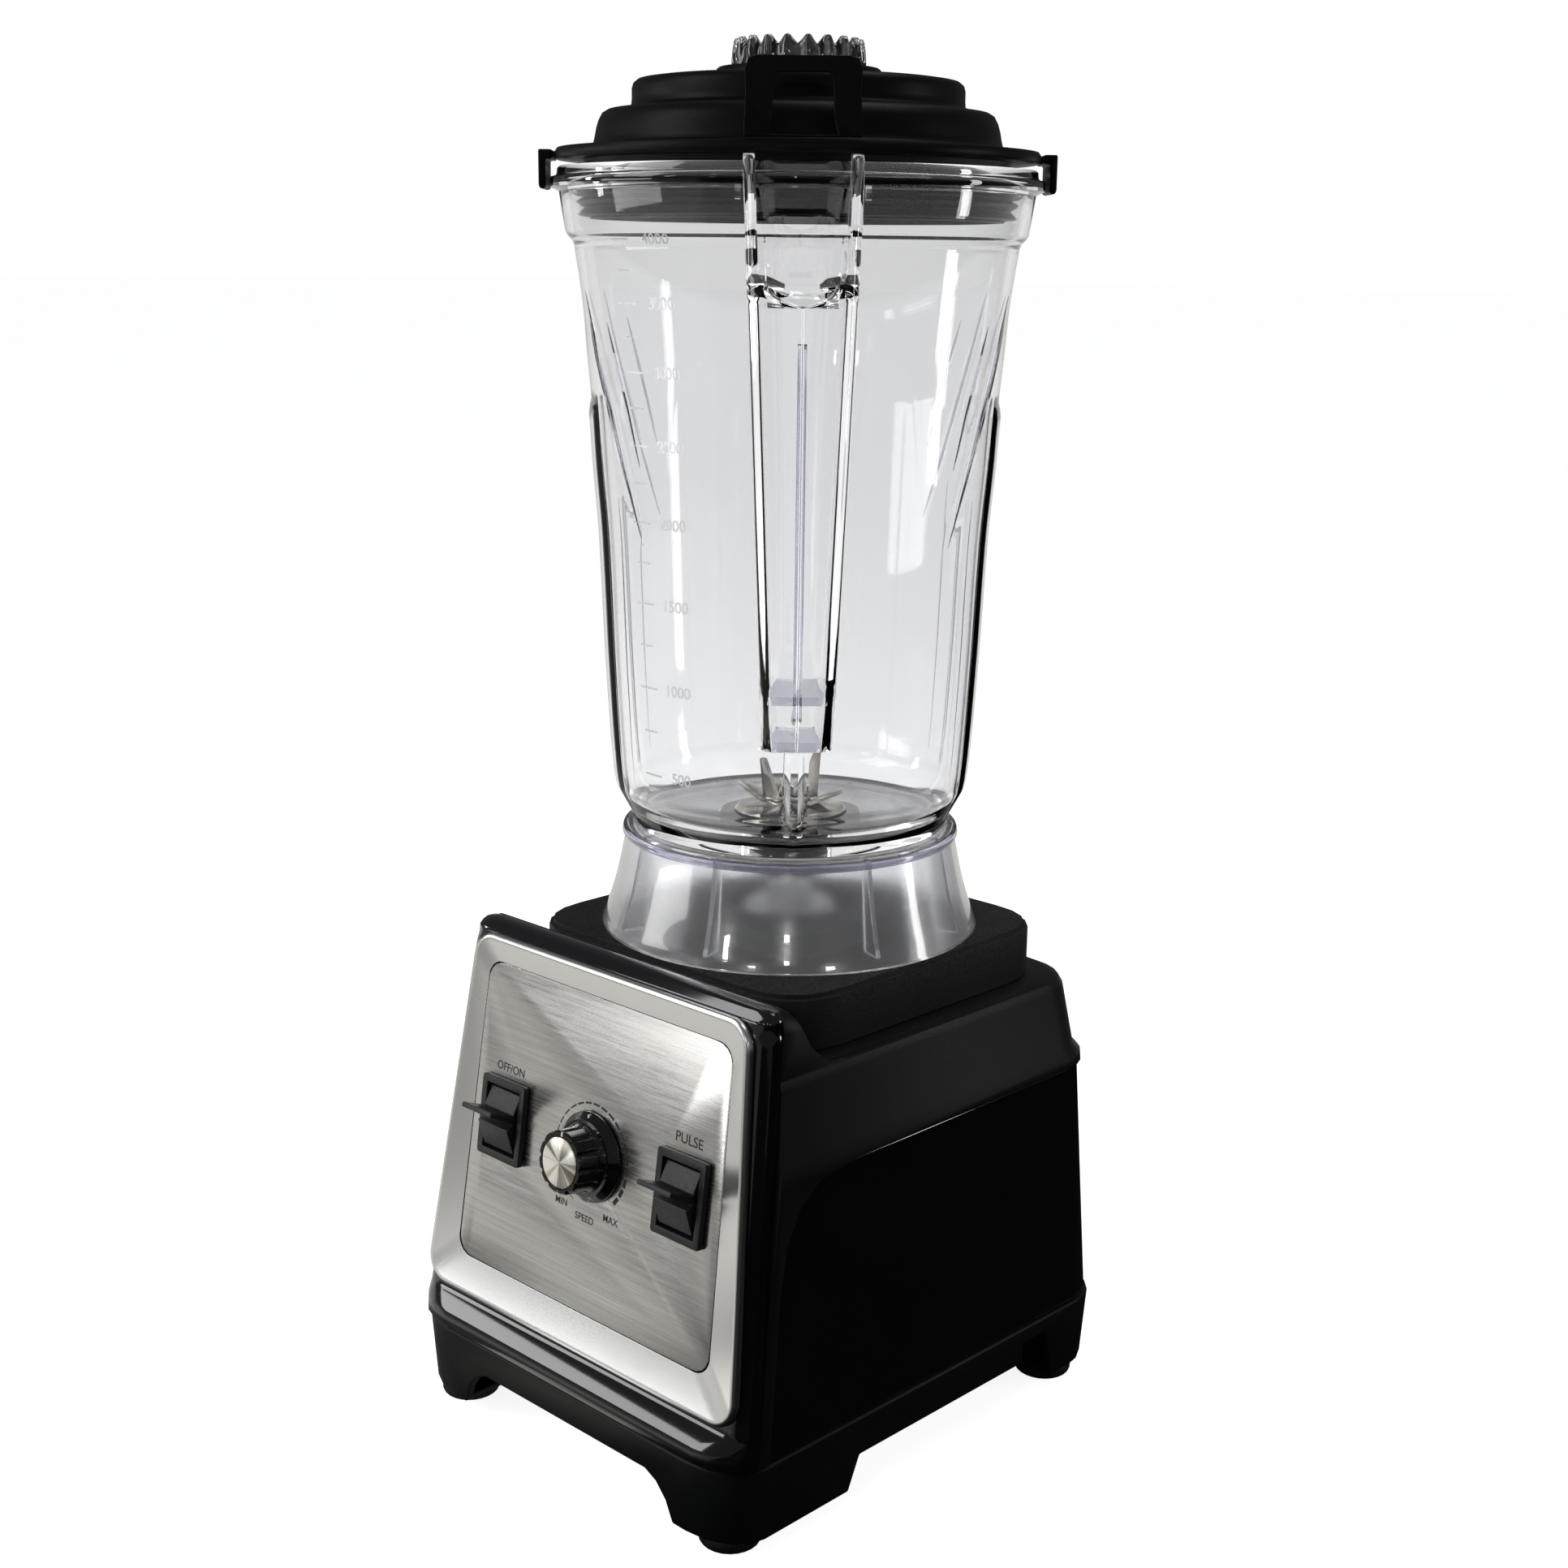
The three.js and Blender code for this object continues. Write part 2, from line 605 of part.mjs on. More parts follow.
function makeDrive() {
  const body = lathe([[0, 194], [20, 194], [20, 216], [17, 219], [0, 219]], 32);
  const bore = disc(MOTOR.shaft + GAP, 190, 206, 24);
  const mouth = prism(splineOutline(8.9, 10.4), 205, 225);
  add("drive_socket", cut(body, bore, mouth), COLOURS.steel, METAL);
  const coupling = cut(prism(splineOutline(8.2, 9.7), 208, 228), disc(4 + GAP, 218, 240, 20));
  add("drive_coupling", coupling, COLOURS.steel, METAL);
}

function makeControlBoard() {
  const board = box(70, 1.6, 46, 0, 84, 120);
  const parts = [box(22, 14, 20, -18, 77, 128), box(14, 10, 14, 14, 79, 112), box(18, 8, 10, 18, 80, 132)];
  add("control_board", join(board, ...parts), COLOURS.board);
}

// ---- jug ----------------------------------------------------------------------------------
const JUG_OUTSIDE = [
  [66.4, 258.4],
  [71.6, 270],
  [72.4, 275.5],
  [73.8, 291.4],
  [75.8, 325.8],
  [77.2, 359.7],
  [78.8, 392.8],
  [80.6, 425.4],
  [83.8, 457.5],
  [87.8, 487.4],
  [91.2, 492.6],
  [93.6, 507.7],
  [97.3, 509.5],
  [97.3, 513],
  [94.4, 514],
  [94, JUG_RIM],
];

function jugInside() {
  return [
    [90.6, JUG_RIM],
    [90.2, 508],
    [88, 493.6],
    [84.6, 488.8],
    [80.6, 457.5],
    [77.4, 425.4],
    [75.6, 392.8],
    [74, 359.7],
    [72.6, 325.8],
    [70.6, 291.4],
    [69, 274],
    [66.4, 265],
    [60, 259.2],
  ];
}

const BLADE_HOLE = 17;

function makeJugBody() {
  const profile = [
    [BLADE_HOLE + GAP, JUG_FLOOR],
    [65.2, JUG_FLOOR],
    ...JUG_OUTSIDE,
    ...jugInside(),
    [BLADE_HOLE + GAP, JUG_FLOOR + JUG_WALL],
  ];
  const spout = towardHandle(barAlongX([[-9, 505], [9, 505], [13, JUG_RIM + 2], [-13, JUG_RIM + 2]], -101, -93));
  const lip = cut(
    towardHandle(barAlongX([[-12, 500], [12, 500], [16, JUG_RIM], [-16, JUG_RIM]], -104, -91)),
    disc(93.6, 480, JUG_RIM + 1, 48),
    spout,
  );
  const body = join(ring(profile, 48), lip);
  add("jug_body", body, COLOURS.clear, CLEAR);
}

// Narrows the handle evenly toward its foot.
function taper(geometry) {
  const position = geometry.getAttribute("position");
  const drop = HANDLE.top - HANDLE.bottom;
  for (let i = 0; i < position.count; i += 1) {
    const share = (HANDLE.top - position.getZ(i)) / drop;
    position.setY(i, position.getY(i) * THREE.MathUtils.lerp(1, HANDLE.halfBottom / HANDLE.halfTop, share));
  }
  return geometry;
}

function makeJugHandle() {
  const side = outline([
    [76, 306],
    [100, HANDLE.bottom],
    [112, 312],
    [120, 336],
    [125, 400],
    [128, 462],
    [126, 492],
    [119, 511],
    [108, HANDLE.top],
    [99.2, HANDLE.top],
    [99.2, 486],
    [104, 478],
    [105, 462],
    [102, 400],
    [98, 352],
    [94, 332],
    [76, 328],
  ]);
  const { halfTop, wall } = HANDLE;
  const settings = { depth: 2 * halfTop, bevelEnabled: false };
  const solid = new THREE.ExtrudeGeometry(side, settings).rotateX(Math.PI / 2).translate(0, halfTop, 0);
  const roundedNose = outline([
    [60, -halfTop],
    [112, -halfTop],
    [120, -halfTop + 5],
    [128.5, -9],
    [128.5, 9],
    [120, halfTop - 5],
    [112, halfTop],
    [60, halfTop],
  ]);
  const grip = common(solid, prism(roundedNose, HANDLE.bottom - 5, HANDLE.top + 5));
  const channel = box(42, 2 * (halfTop - wall), 122, 95, 0, 394);
  const forkGap = box(40, 2 * (halfTop - wall), 40, 117, 0, 511);
  const pocket = box(24, 2 * (halfTop - wall), 30, 107, 0, 482);
  const screwHole = disc(3.2, -40, 40, 12).rotateY(Math.PI / 2).translate(100, 0, 318);
  const body = cut(taper(cut(grip, channel, forkGap, pocket)), screwHole);
  add("jug_handle", cut(towardHandle(body), jugEnvelope()), COLOURS.clear, CLEAR);
}

// The jug's outside, grown by the gap, for pieces that meet its wall.
function jugEnvelope() {
  return lathe([[0, JUG_FLOOR], [65.2, JUG_FLOOR], ...JUG_OUTSIDE.map(([r, z]) => [r + GAP, z]), [0, JUG_RIM]], 56);
}

function makeHandleScrews() {
  const screw = () => disc(2.6, 0, 2, 12);
  for (const [name, side] of [["left", -1], ["right", 1]]) {
    const place = screw().rotateX(-side * (Math.PI / 2)).translate(105, side * (HANDLE.halfTop + GAP), 506);
    add("handle_screw_" + name, towardHandle(place), COLOURS.steel, METAL);
  }
  const lower = disc(2.6, 84, 100, 12).rotateY(Math.PI / 2).translate(0, 0, 318);
  add("handle_screw_lower", towardHandle(lower), COLOURS.steel, METAL);
}

function makeJugSkirt() {
  const profile = [
    [76.7, PAD.top + GAP],
    [79.5, PAD.top + GAP],
    [78.3, 213.5],
    [73.3, 229.6],
    [69.8, 246],
    [68.6, JUG_FLOOR - GAP],
    [30, JUG_FLOOR - GAP],
    [30, 250.2],
    [65.8, 250.2],
    [67.2, 245],
    [70.6, 229.6],
    [75.5, 213.5],
  ];
  const finSide = [[66, 214], [75.8, 214], [71.2, 229.6], [67.8, 245], [66.4, 251], [62, 251]];
  const finTurns = [26.7, 63.3, 116.7, 153.3].flatMap((turn) => [turn, -turn]);
  const fins = finTurns.map((turn) =>
    towardHandle(barAlongY(finSide, -0.9, 0.9).rotateZ(THREE.MathUtils.degToRad(turn))),
  );
  add("jug_skirt", join(ring(profile, 48), ...fins), COLOURS.smoke, CLEAR);
}

// ---- blade set ----------------------------------------------------------------------------
function makeBladeSeat() {
  const housing = ring(
    [
      [11 + GAP, 236],
      [BLADE_HOLE, 236],
      [BLADE_HOLE, JUG_FLOOR + 3.8],
      [24, JUG_FLOOR + 3.8],
      [22, 260],
      [9, 260.6],
      [9, 258.4],
      [11 + GAP, 258.4],
    ],
    32,
  );
  add("blade_bearing_housing", housing, COLOURS.steel, METAL);
  add("blade_bearing_upper", tube(4 + GAP, 11, 250.4, 258.1, 24), COLOURS.steel, METAL);
  add("blade_bearing_lower", tube(4 + GAP, 11, 237, 244.7, 24), COLOURS.steel, METAL);
  const seal = tube(BLADE_HOLE + GAP, 29.4, JUG_FLOOR - 3.6, JUG_FLOOR - GAP, 32);
  add("blade_seal", seal, COLOURS.rubber);
  const nut = cut(disc(27, 243, 250, 8), disc(BLADE_HOLE + GAP, 235, 255, 32));
  add("blade_retaining_nut", nut, COLOURS.silver, METAL);
}

// A stamped blade: a hub with tapered wings, each bent up or down at its root.
function stampedBlade(z, wings) {
  const thickness = 1.8;
  const hub = disc(8.5, z, z + thickness, 24);
  const shapes = wings.map(({ turn, root, reach, bend, chord }) => {
    const tip = outline([[0, -chord / 2], [reach, -chord / 8], [reach, chord / 8], [0, chord / 2]]);
    const arm = box(root, chord, thickness, root / 2 + 3, 0, z + thickness / 2);
    const blade = prism(tip, 0, thickness).rotateY(-bend).translate(root + 2.6, 0, z);
    return join(arm, blade).rotateZ(THREE.MathUtils.degToRad(turn));
  });
  return cut(join(hub, ...shapes), disc(4 + GAP, z - 5, z + 5, 20));
}

function makeBlades() {
  const { flat, raised, steep } = BLADE_TURNS;
  const opposite = (turn, wing) => [{ turn, ...wing }, { turn: turn + 180, ...wing }];
  const lower = stampedBlade(261.2, [
    ...opposite(flat, { root: 8, reach: 24, bend: 0.02, chord: 12 }),
    ...opposite(raised, { root: 8, reach: 14, bend: 0.45, chord: 12 }),
  ]);
  add("blade_lower", lower, COLOURS.steel, METAL);
  const upper = stampedBlade(263.4, opposite(steep, { root: 7.4, reach: 18.5, bend: 1.31, chord: 11 }));
  add("blade_upper", upper, COLOURS.steel, METAL);
  const nut = cut(disc(7, 265.6, 270, 6), disc(4 + GAP, 264, 269, 20));
  add("blade_nut", nut, COLOURS.steel, METAL);
  add("blade_shaft", disc(4, 219, 268.6, 24), COLOURS.steel, METAL);
}

// ---- lid ----------------------------------------------------------------------------------
function makeLid() {
  const profile = [
    [24.4, 532],
    [60, 528],
    [70, 524],
    [78.4, 516],
    [78.4, 498],
    [81.6, 498],
    [81.6, 516.8],
    [84, FLANGE_Z],
    [95, FLANGE_Z],
    [95, 524],
    [79.6, 525.4],
    [78.2, 534],
    [75.4, 538],
    [66, 539.5],
    [65, 541],
    [65, 547.5],
    [62.5, 550],
    [33, 550.6],
    [32, 555],
    [26.8, 555],
    [26.8, 541],
    [24.4, 541],
  ];
  add("lid_cover", ring(profile, 48), COLOURS.rubber, { roughness: 0.7 });
  const ribs = [
    [82, 499],
    [86.4, 499],
    [84, 502],
    [87, 504.5],
    [84, 507],
    [87.8, 509.5],
    [84, 512],
    [84, 515.6],
    [82, 515.6],
  ];
  add("lid_seal", ring(ribs, 44), COLOURS.rubber, { roughness: 0.9 });
}

function makePullLoop() {
  const loop = outline([[-21, 525.6], [21, 525.6], [20.5, 547], [17, 552.5], [-17, 552.5], [-20.5, 547]]);
  loop.holes.push(outline([[-11, 530], [-10.5, 547], [10.5, 547], [11, 530]]));
  const plate = new THREE.ExtrudeGeometry(loop, { depth: 4.5, bevelEnabled: false })
    .rotateX(Math.PI / 2)
    .rotateZ(Math.PI / 2)
    .translate(87.5, 0, 0);
  add("lid_pull_loop", towardHandle(plate), COLOURS.rubber, { roughness: 0.7 });
}

function makeLatches() {
  for (const [name, side] of [["left", -1], ["right", 1]]) {
    const profile = [
      [95.6, 519.8],
      [98, 519.8],
      [98, 509],
      [99.8, 508.4],
      [100.8, 509.6],
      [100.8, 523.4],
      [95.6, 523.4],
    ];
    const clip = barAlongX(profile, -12, 12).rotateZ(side < 0 ? Math.PI : 0);
    add("lid_latch_" + name, towardHandle(clip), COLOURS.rubber, { roughness: 0.7 });
  }
}

function makeFillerCap() {
  const profile = [
    [0, 531],
    [22.5, 531],
    [24, 533],
    [24, 541.6],
    [26.4, 541.6],
    [26.2, 558],
    [25, 566],
    [21.8, 566],
    [21.8, 534.5],
    [0, 534.5],
  ];
  add("filler_cap", lathe(profile, 40), COLOURS.clear, CLEAR);
}

// ---- assembly -----------------------------------------------------------------------------
makePlinth();
makeBottomPlate();
makeFeet();
makeUpperHousing();
makeLowerHousing();
makePowerInlet();
makeBezel();
makeTrimFrame();
makeControlPanel();
makeSwitch("power", -SWITCH.u);
makeSwitch("pulse", SWITCH.u);
makeKnob();
makeSeatPad();
makeMotorFrame();
makeRotor();
makeDrive();
makeControlBoard();
makeJugBody();
makeJugHandle();
makeHandleScrews();
makeJugSkirt();
makeBladeSeat();
makeBlades();
makeLid();
makePullLoop();
makeLatches();
makeFillerCap();

group.position.y = JUG_AXIS_Y;

export default group;
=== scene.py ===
"""Looks of a countertop blender: clear jug with its handle, lid and blades, on a black motor base.

Every piece is drawn in millimetres in one of the frames of Place, and is moved into the
object's own frame, in metres, when it is finished. It then rides on its body.
"""

import json
import logging
import math
from collections.abc import Callable, Iterable, Sequence
from dataclasses import dataclass, field
from enum import Enum
from functools import lru_cache
from typing import Any

import bmesh
import bpy
from mathutils import Matrix, Vector

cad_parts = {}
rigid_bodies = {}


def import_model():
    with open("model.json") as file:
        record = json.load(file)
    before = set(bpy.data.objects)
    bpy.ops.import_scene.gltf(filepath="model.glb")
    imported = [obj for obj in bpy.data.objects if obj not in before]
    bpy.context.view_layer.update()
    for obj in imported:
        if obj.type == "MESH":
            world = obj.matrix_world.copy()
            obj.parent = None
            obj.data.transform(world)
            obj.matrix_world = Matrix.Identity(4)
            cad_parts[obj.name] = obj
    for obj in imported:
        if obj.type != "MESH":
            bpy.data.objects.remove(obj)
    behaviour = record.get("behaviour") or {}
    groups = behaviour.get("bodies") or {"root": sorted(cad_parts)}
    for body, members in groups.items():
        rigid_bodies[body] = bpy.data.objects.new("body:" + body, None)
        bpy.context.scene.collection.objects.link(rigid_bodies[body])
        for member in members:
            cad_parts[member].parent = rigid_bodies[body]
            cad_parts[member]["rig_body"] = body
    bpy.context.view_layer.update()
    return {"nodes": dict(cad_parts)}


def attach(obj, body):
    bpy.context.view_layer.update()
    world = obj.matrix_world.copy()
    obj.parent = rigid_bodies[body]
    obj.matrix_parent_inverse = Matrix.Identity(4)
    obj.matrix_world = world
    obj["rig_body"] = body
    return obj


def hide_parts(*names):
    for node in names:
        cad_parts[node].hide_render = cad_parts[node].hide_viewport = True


log = logging.getLogger("blender")

Colour = tuple[float, float, float]
Point = tuple[float, float]
Profile = list[Point]

FULL_TURN = 2 * math.pi
JUG_AXIS_Y = 12.25  # the jug's axis, behind the middle of the footprint
HANDLE_TURN = -45.0  # degrees, the handle points over the front right corner
PANEL_LEAN = 7.88  # degrees, the control panel leans back
PANEL_ORIGIN = (0.0, -111.75, 131.45)


class Place(Enum):
    """The frames that pieces are drawn in, in millimetres."""

    AXIS = "about the jug's axis"
    HANDLE = "about the jug's axis, X toward the handle"
    PANEL = "on the control panel, X right, Y up the slope, Z out"

    def matrix(self) -> Matrix:
        """Returns the move from this frame into the object's frame, in metres."""
        axis = Matrix.Scale(0.001, 4) @ Matrix.Translation((0, JUG_AXIS_Y, 0))
        if self is Place.HANDLE:
            return axis @ Matrix.Rotation(math.radians(HANDLE_TURN), 4, "Z")
        if self is Place.PANEL:
            turn = Matrix.Rotation(math.radians(90 - PANEL_LEAN), 4, "X")
            return axis @ Matrix.Translation(PANEL_ORIGIN) @ turn
        return axis


# ---- finishes ---------------------------------------------------------------------------


class NodeTree:
    """The node tree of a material or a world, wired a node at a time."""

    def __init__(self, owner: bpy.types.Material | bpy.types.World) -> None:
        """Empties the owner's node tree.

        Args:
            owner: The material or the world.
        """
        owner.use_nodes = True
        self.owner = owner
        self.tree = owner.node_tree
        self.tree.nodes.clear()

    def add(self, kind: str, inputs: dict[Any, Any] | None = None, **settings: Any) -> Any:
        """Adds a node.

        Args:
            kind: The node's type, without its ShaderNode prefix.
            inputs: Values or output sockets by input name or number.
            **settings: The node's own properties.

        Returns:
            The node.
        """
        node = self.tree.nodes.new("ShaderNode" + kind)
        for key, value in settings.items():
            setattr(node, key, value)
        for key, value in (inputs or {}).items():
            if isinstance(value, bpy.types.NodeSocket):
                self.tree.links.new(value, node.inputs[key])
            else:
                node.inputs[key].default_value = value
        return node

    def between(self, factor: Any, low: float, high: float, span: Point = (0.3, 0.7)) -> Any:
        """Maps a pattern onto a range.

        Args:
            factor: The pattern's output socket.
            low: Value at the pattern's low end.
            high: Value at its high end.
            span: The part of the pattern that is used.

        Returns:
            The mapped output socket.
        """
        inputs = {0: factor, 1: span[0], 2: span[1], 3: low, 4: high}
        return self.add("MapRange", inputs).outputs[0]

    def mixed(self, factor: Any, first: Colour, second: Colour) -> Any:
        """Mixes two colours.

        Args:
            factor: The output socket that says how much of the second.
            first: The colour at 0.
            second: The colour at 1.

        Returns:
            The colour's output socket.
        """
        inputs = {0: factor, 6: (*first, 1.0), 7: (*second, 1.0)}
        return self.add("Mix", inputs, data_type="RGBA").outputs[2]

    def combined(self, operation: str, first: Any, second: Any) -> Any:
        """Works out one value from two values or output sockets, and returns its socket."""
        return self.add("Math", {0: first, 1: second}, operation=operation).outputs[0]

    def seen(self) -> Any:
        """Returns a socket that is 1 where the camera looks, straight or through plastic."""
        path = self.add("LightPath").outputs
        return self.combined("MAXIMUM", path["Is Camera Ray"], path["Is Transmission Ray"])

    def noise(self, where: Any, scale: float, detail: float = 2.0) -> Any:
        """Returns the node of a cloudy pattern, with this many clouds a metre."""
        return self.add("TexNoise", {"Vector": where, "Scale": scale, "Detail": detail})

    def bump(self, pattern: Any, strength: float, depth: float) -> Any:
        """Returns the normal of a surface that a pattern raises, by a depth in millimetres."""
        inputs = {"Height": pattern, "Strength": strength, "Distance": depth / 1000}
        return self.add("Bump", inputs).outputs[0]

    def place(
        self,
        stretch: Colour = (1, 1, 1),
        turn: Colour = (0, 0, 0),
        centre: Colour = (0, 0, 0),
    ) -> Any:
        """Reads the object's coordinates through a mapping.

        Args:
            stretch: Scale of the coordinates.
            turn: Rotation of the coordinates, in degrees.
            centre: Where their centre lies, in metres, before they are turned.

        Returns:
            The vector's output socket.
        """
        coordinates = self.add("TexCoord").outputs["Object"]
        moved = self.add("VectorMath", {0: coordinates, 1: centre}, operation="SUBTRACT")
        turned = self.add(
            "Mapping", {"Vector": moved.outputs[0], "Rotation": [math.radians(t) for t in turn]}
        )
        return self.add("Mapping", {"Vector": turned.outputs[0], "Scale": stretch}).outputs[0]

    def finish(self, shader: Any) -> bpy.types.Material:
        """Wires the shader to the surface and returns the material."""
        self.add("OutputMaterial", {"Surface": shader})
        return self.owner


@dataclass(frozen=True)
class Finish:
    """A solid finish: two colours, mostly close, mottled together, a roughness range and a fine
    grain. The mottle is the finish's own tone, but on the blade steel it is painted reflection.
    """

    name: str
    slot: str
    light: Colour
    dark: Colour
    roughness: Point
    metallic: float = 0.0
    coat: float = 0.0
    tone_and_reflection_blotches: float = 30.0  # blotches a metre
    grain: float = 1200.0  # grains a metre
    depth: float = 0.02  # millimetres
    stretch: Colour = (1.0, 1.0, 1.0)
    specular: float = 0.5

    @lru_cache
    def material(self) -> bpy.types.Material:
        """Returns the finish as a material, made once."""
        nodes = NodeTree(bpy.data.materials.new(self.name))
        where = nodes.place(self.stretch)
        tone_and_reflection_blotches = nodes.noise(where, self.tone_and_reflection_blotches, 4.0).outputs[0]
        grain = nodes.noise(where, self.grain, 3.0).outputs[0]
        inputs = {
            "Base Color": nodes.mixed(nodes.between(tone_and_reflection_blotches, 0.0, 1.0), self.dark, self.light),
            "Roughness": nodes.between(grain, *self.roughness),
            "Metallic": self.metallic,
            "Coat Weight": self.coat,
            "Coat Roughness": 0.05,
            "Specular IOR Level": self.specular,
            "Normal": nodes.bump(grain, 0.6, self.depth),
        }
        return nodes.finish(nodes.add("BsdfPrincipled", inputs).outputs[0])


@dataclass(frozen=True)
class ClearFinish:
    """A clear moulded plastic, which lets the lamps through. Seen aslant it turns to its edge
    colour: partly the plastic's tint over a longer path, partly painted shade for the dark edges
    that bent light shows.
    """

    name: str
    slot: str
    tint: Colour
    edge: Colour
    roughness: float = 0.02
    coat: float = 0.0
    ior: float = 1.5
    waves: float = 25.0  # flow waves a metre
    depth: float = 0.06  # millimetres
    shade: float = 0.9  # share of a lamp's light that one wall lets through
    aslant_from: float = 0.72  # how far the view turns aslant before the edge colour starts
    aslant_power: float = 2.2

    @lru_cache
    def material(self) -> bpy.types.Material:
        """Returns the finish as a material, made once."""
        nodes = NodeTree(bpy.data.materials.new(self.name))
        waves = nodes.noise(nodes.place((1, 1, 0.35)), self.waves, 1.0).outputs[0]
        # Partly painted shade: where the surface is seen aslant its colour darkens towards the edge
        # colour.
        facing = nodes.add("LayerWeight", {"Blend": 0.5}).outputs["Facing"]
        aslant = nodes.between(facing, 0.0, 1.0, (self.aslant_from, 1.0))
        deep = nodes.combined("POWER", aslant, self.aslant_power)
        inputs = {
            "Base Color": nodes.mixed(deep, self.tint, self.edge),
            "Roughness": self.roughness,
            "IOR": self.ior,
            "Transmission Weight": 1.0,
            "Coat Weight": self.coat,
            "Coat Roughness": 0.03,
            "Normal": nodes.bump(waves, 0.5, self.depth),
        }
        plastic = nodes.add("BsdfPrincipled", inputs).outputs[0]
        passed = nodes.add("BsdfTransparent", {0: (self.shade, self.shade, self.shade, 1)})
        shadow = nodes.add("LightPath").outputs["Is Shadow Ray"]
        mix = nodes.add("MixShader", {0: shadow, 1: plastic, 2: passed.outputs[0]})
        return nodes.finish(mix.outputs[0])


@dataclass(frozen=True)
class SpunFinish:
    """A turned metal face: fine rings, and painted highlights: bright and dark rays out from its
    middle, painted into its colour in place of the reflections that turned metal shows.
    """

    name: str
    slot: str
    light: Colour
    dark: Colour
    centre: Colour  # millimetres, in the frame of the jug's axis
    rays: float = 8.0
    highlight_ray_span: Point = (0.44, 0.56)  # the part of the pattern that fades from dark to light
    rings: float = 900.0

    @lru_cache
    def material(self) -> bpy.types.Material:
        """Returns the finish as a material, made once."""
        nodes = NodeTree(bpy.data.materials.new(self.name))
        middle = Place.AXIS.matrix() @ Vector(self.centre)
        where = nodes.place((1, 1, 1), (PANEL_LEAN - 90, 0, 0), tuple(middle))
        angle = nodes.add("TexGradient", {"Vector": where}, gradient_type="RADIAL").outputs[1]
        ray = nodes.add(
            "TexNoise", {"W": angle, "Scale": self.rays, "Detail": 5.0}, noise_dimensions="1D"
        ).outputs[0]
        waves = {"Vector": where, "Scale": self.rings, "Distortion": 0.4}
        rings = nodes.add("TexWave", waves, wave_type="RINGS", rings_direction="Z").outputs[0]
        # Painted highlight: the rays mix the dark colour into the light one, fixed on the cap.
        painted_ray_highlight = nodes.between(ray, 0.0, 1.0, self.highlight_ray_span)
        inputs = {
            "Base Color": nodes.mixed(painted_ray_highlight, self.dark, self.light),
            "Metallic": 1.0,
            "Roughness": nodes.between(rings, 0.24, 0.36, (0, 1)),
            "Normal": nodes.bump(rings, 0.3, 0.01),
        }
        return nodes.finish(nodes.add("BsdfPrincipled", inputs).outputs[0])


AnyFinish = Finish | ClearFinish | SpunFinish

SATIN_BLACK = Finish(
    "satin_black_shell", "satin_black", (0.009, 0.0095, 0.0095), (0.0065, 0.007, 0.007),
    (0.38, 0.48), depth=0.03, specular=0.16,
)
SWITCH_BLACK = Finish(
    "matte_black_switch", "satin_black", (0.017, 0.017, 0.018), (0.011, 0.011, 0.012),
    (0.42, 0.55), depth=0.04,
)
GLOSS_BLACK = Finish(
    "gloss_black_shell", "gloss_black", (0.006, 0.006, 0.007), (0.004, 0.004, 0.005),
    (0.06, 0.1), coat=0.6, depth=0.002,
)
PAD_RUBBER = Finish(
    "grained_rubber", "black_rubber", (0.011, 0.011, 0.011), (0.005, 0.005, 0.005),
    (0.5, 0.8), grain=950, depth=0.3, specular=0.4,
)
LID_RUBBER = Finish(
    "soft_black_lid", "black_rubber", (0.0045, 0.0045, 0.005), (0.003, 0.003, 0.0034),
    (0.38, 0.48), depth=0.03, specular=0.1,
)
SATIN_SILVER = Finish(
    "satin_silver_frame", "satin_silver", (0.84, 0.84, 0.83), (0.79, 0.79, 0.78),
    (0.245, 0.26), metallic=1.0, grain=3200, depth=0.0002,
)
BRUSHED = Finish(
    "brushed_panel_steel", "brushed_panel", (0.66, 0.65, 0.625), (0.53, 0.52, 0.50),
    (0.2, 0.34), metallic=1.0, tone_and_reflection_blotches=700, grain=2600, depth=0.006, stretch=(0.02, 1, 1),
)
STEEL = Finish(
    "machined_steel", "steel", (0.5, 0.5, 0.5), (0.4, 0.4, 0.4),
    (0.25, 0.4), metallic=1.0, grain=2000, depth=0.01,
)
# Painted reflections: the blotches run from bright steel to near black, standing in for the bright
# and dark surroundings that the polished blades mirror.
POLISHED_WITH_PAINTED_REFLECTIONS = Finish(
    "blade_steel_painted_reflections", "polished_steel", (0.62, 0.59, 0.54), (0.035, 0.032, 0.028),
    (0.08, 0.14), metallic=1.0, tone_and_reflection_blotches=75, depth=0.006,
)
COPPER = Finish(
    "enamelled_copper", "copper", (0.72, 0.32, 0.16), (0.5, 0.2, 0.09),
    (0.3, 0.45), metallic=1.0, tone_and_reflection_blotches=120, grain=900, depth=0.2,
)
BOARD = Finish(
    "board_green", "board_green", (0.03, 0.16, 0.07), (0.02, 0.1, 0.04), (0.35, 0.5), tone_and_reflection_blotches=200
)
INK = Finish("panel_ink", "satin_black", (0.03, 0.03, 0.03), (0.02, 0.02, 0.02), (0.5, 0.6))
WHITE_INK = Finish("white_ink", "satin_silver", (0.85, 0.85, 0.85), (0.8, 0.8, 0.8), (0.4, 0.5))
# The jug's grey tint is partly the plastic's own tint and partly painted shade for the dimmer
# surround seen through it.
CLEAR = ClearFinish(
    "clear_jug_plastic", "clear_plastic", (0.84, 0.842, 0.846), (0.4, 0.4, 0.47)
)
HANDLE_CLEAR = ClearFinish(
    "clear_handle_plastic", "clear_plastic", (0.985, 0.985, 0.99), (0.55, 0.55, 0.63)
)
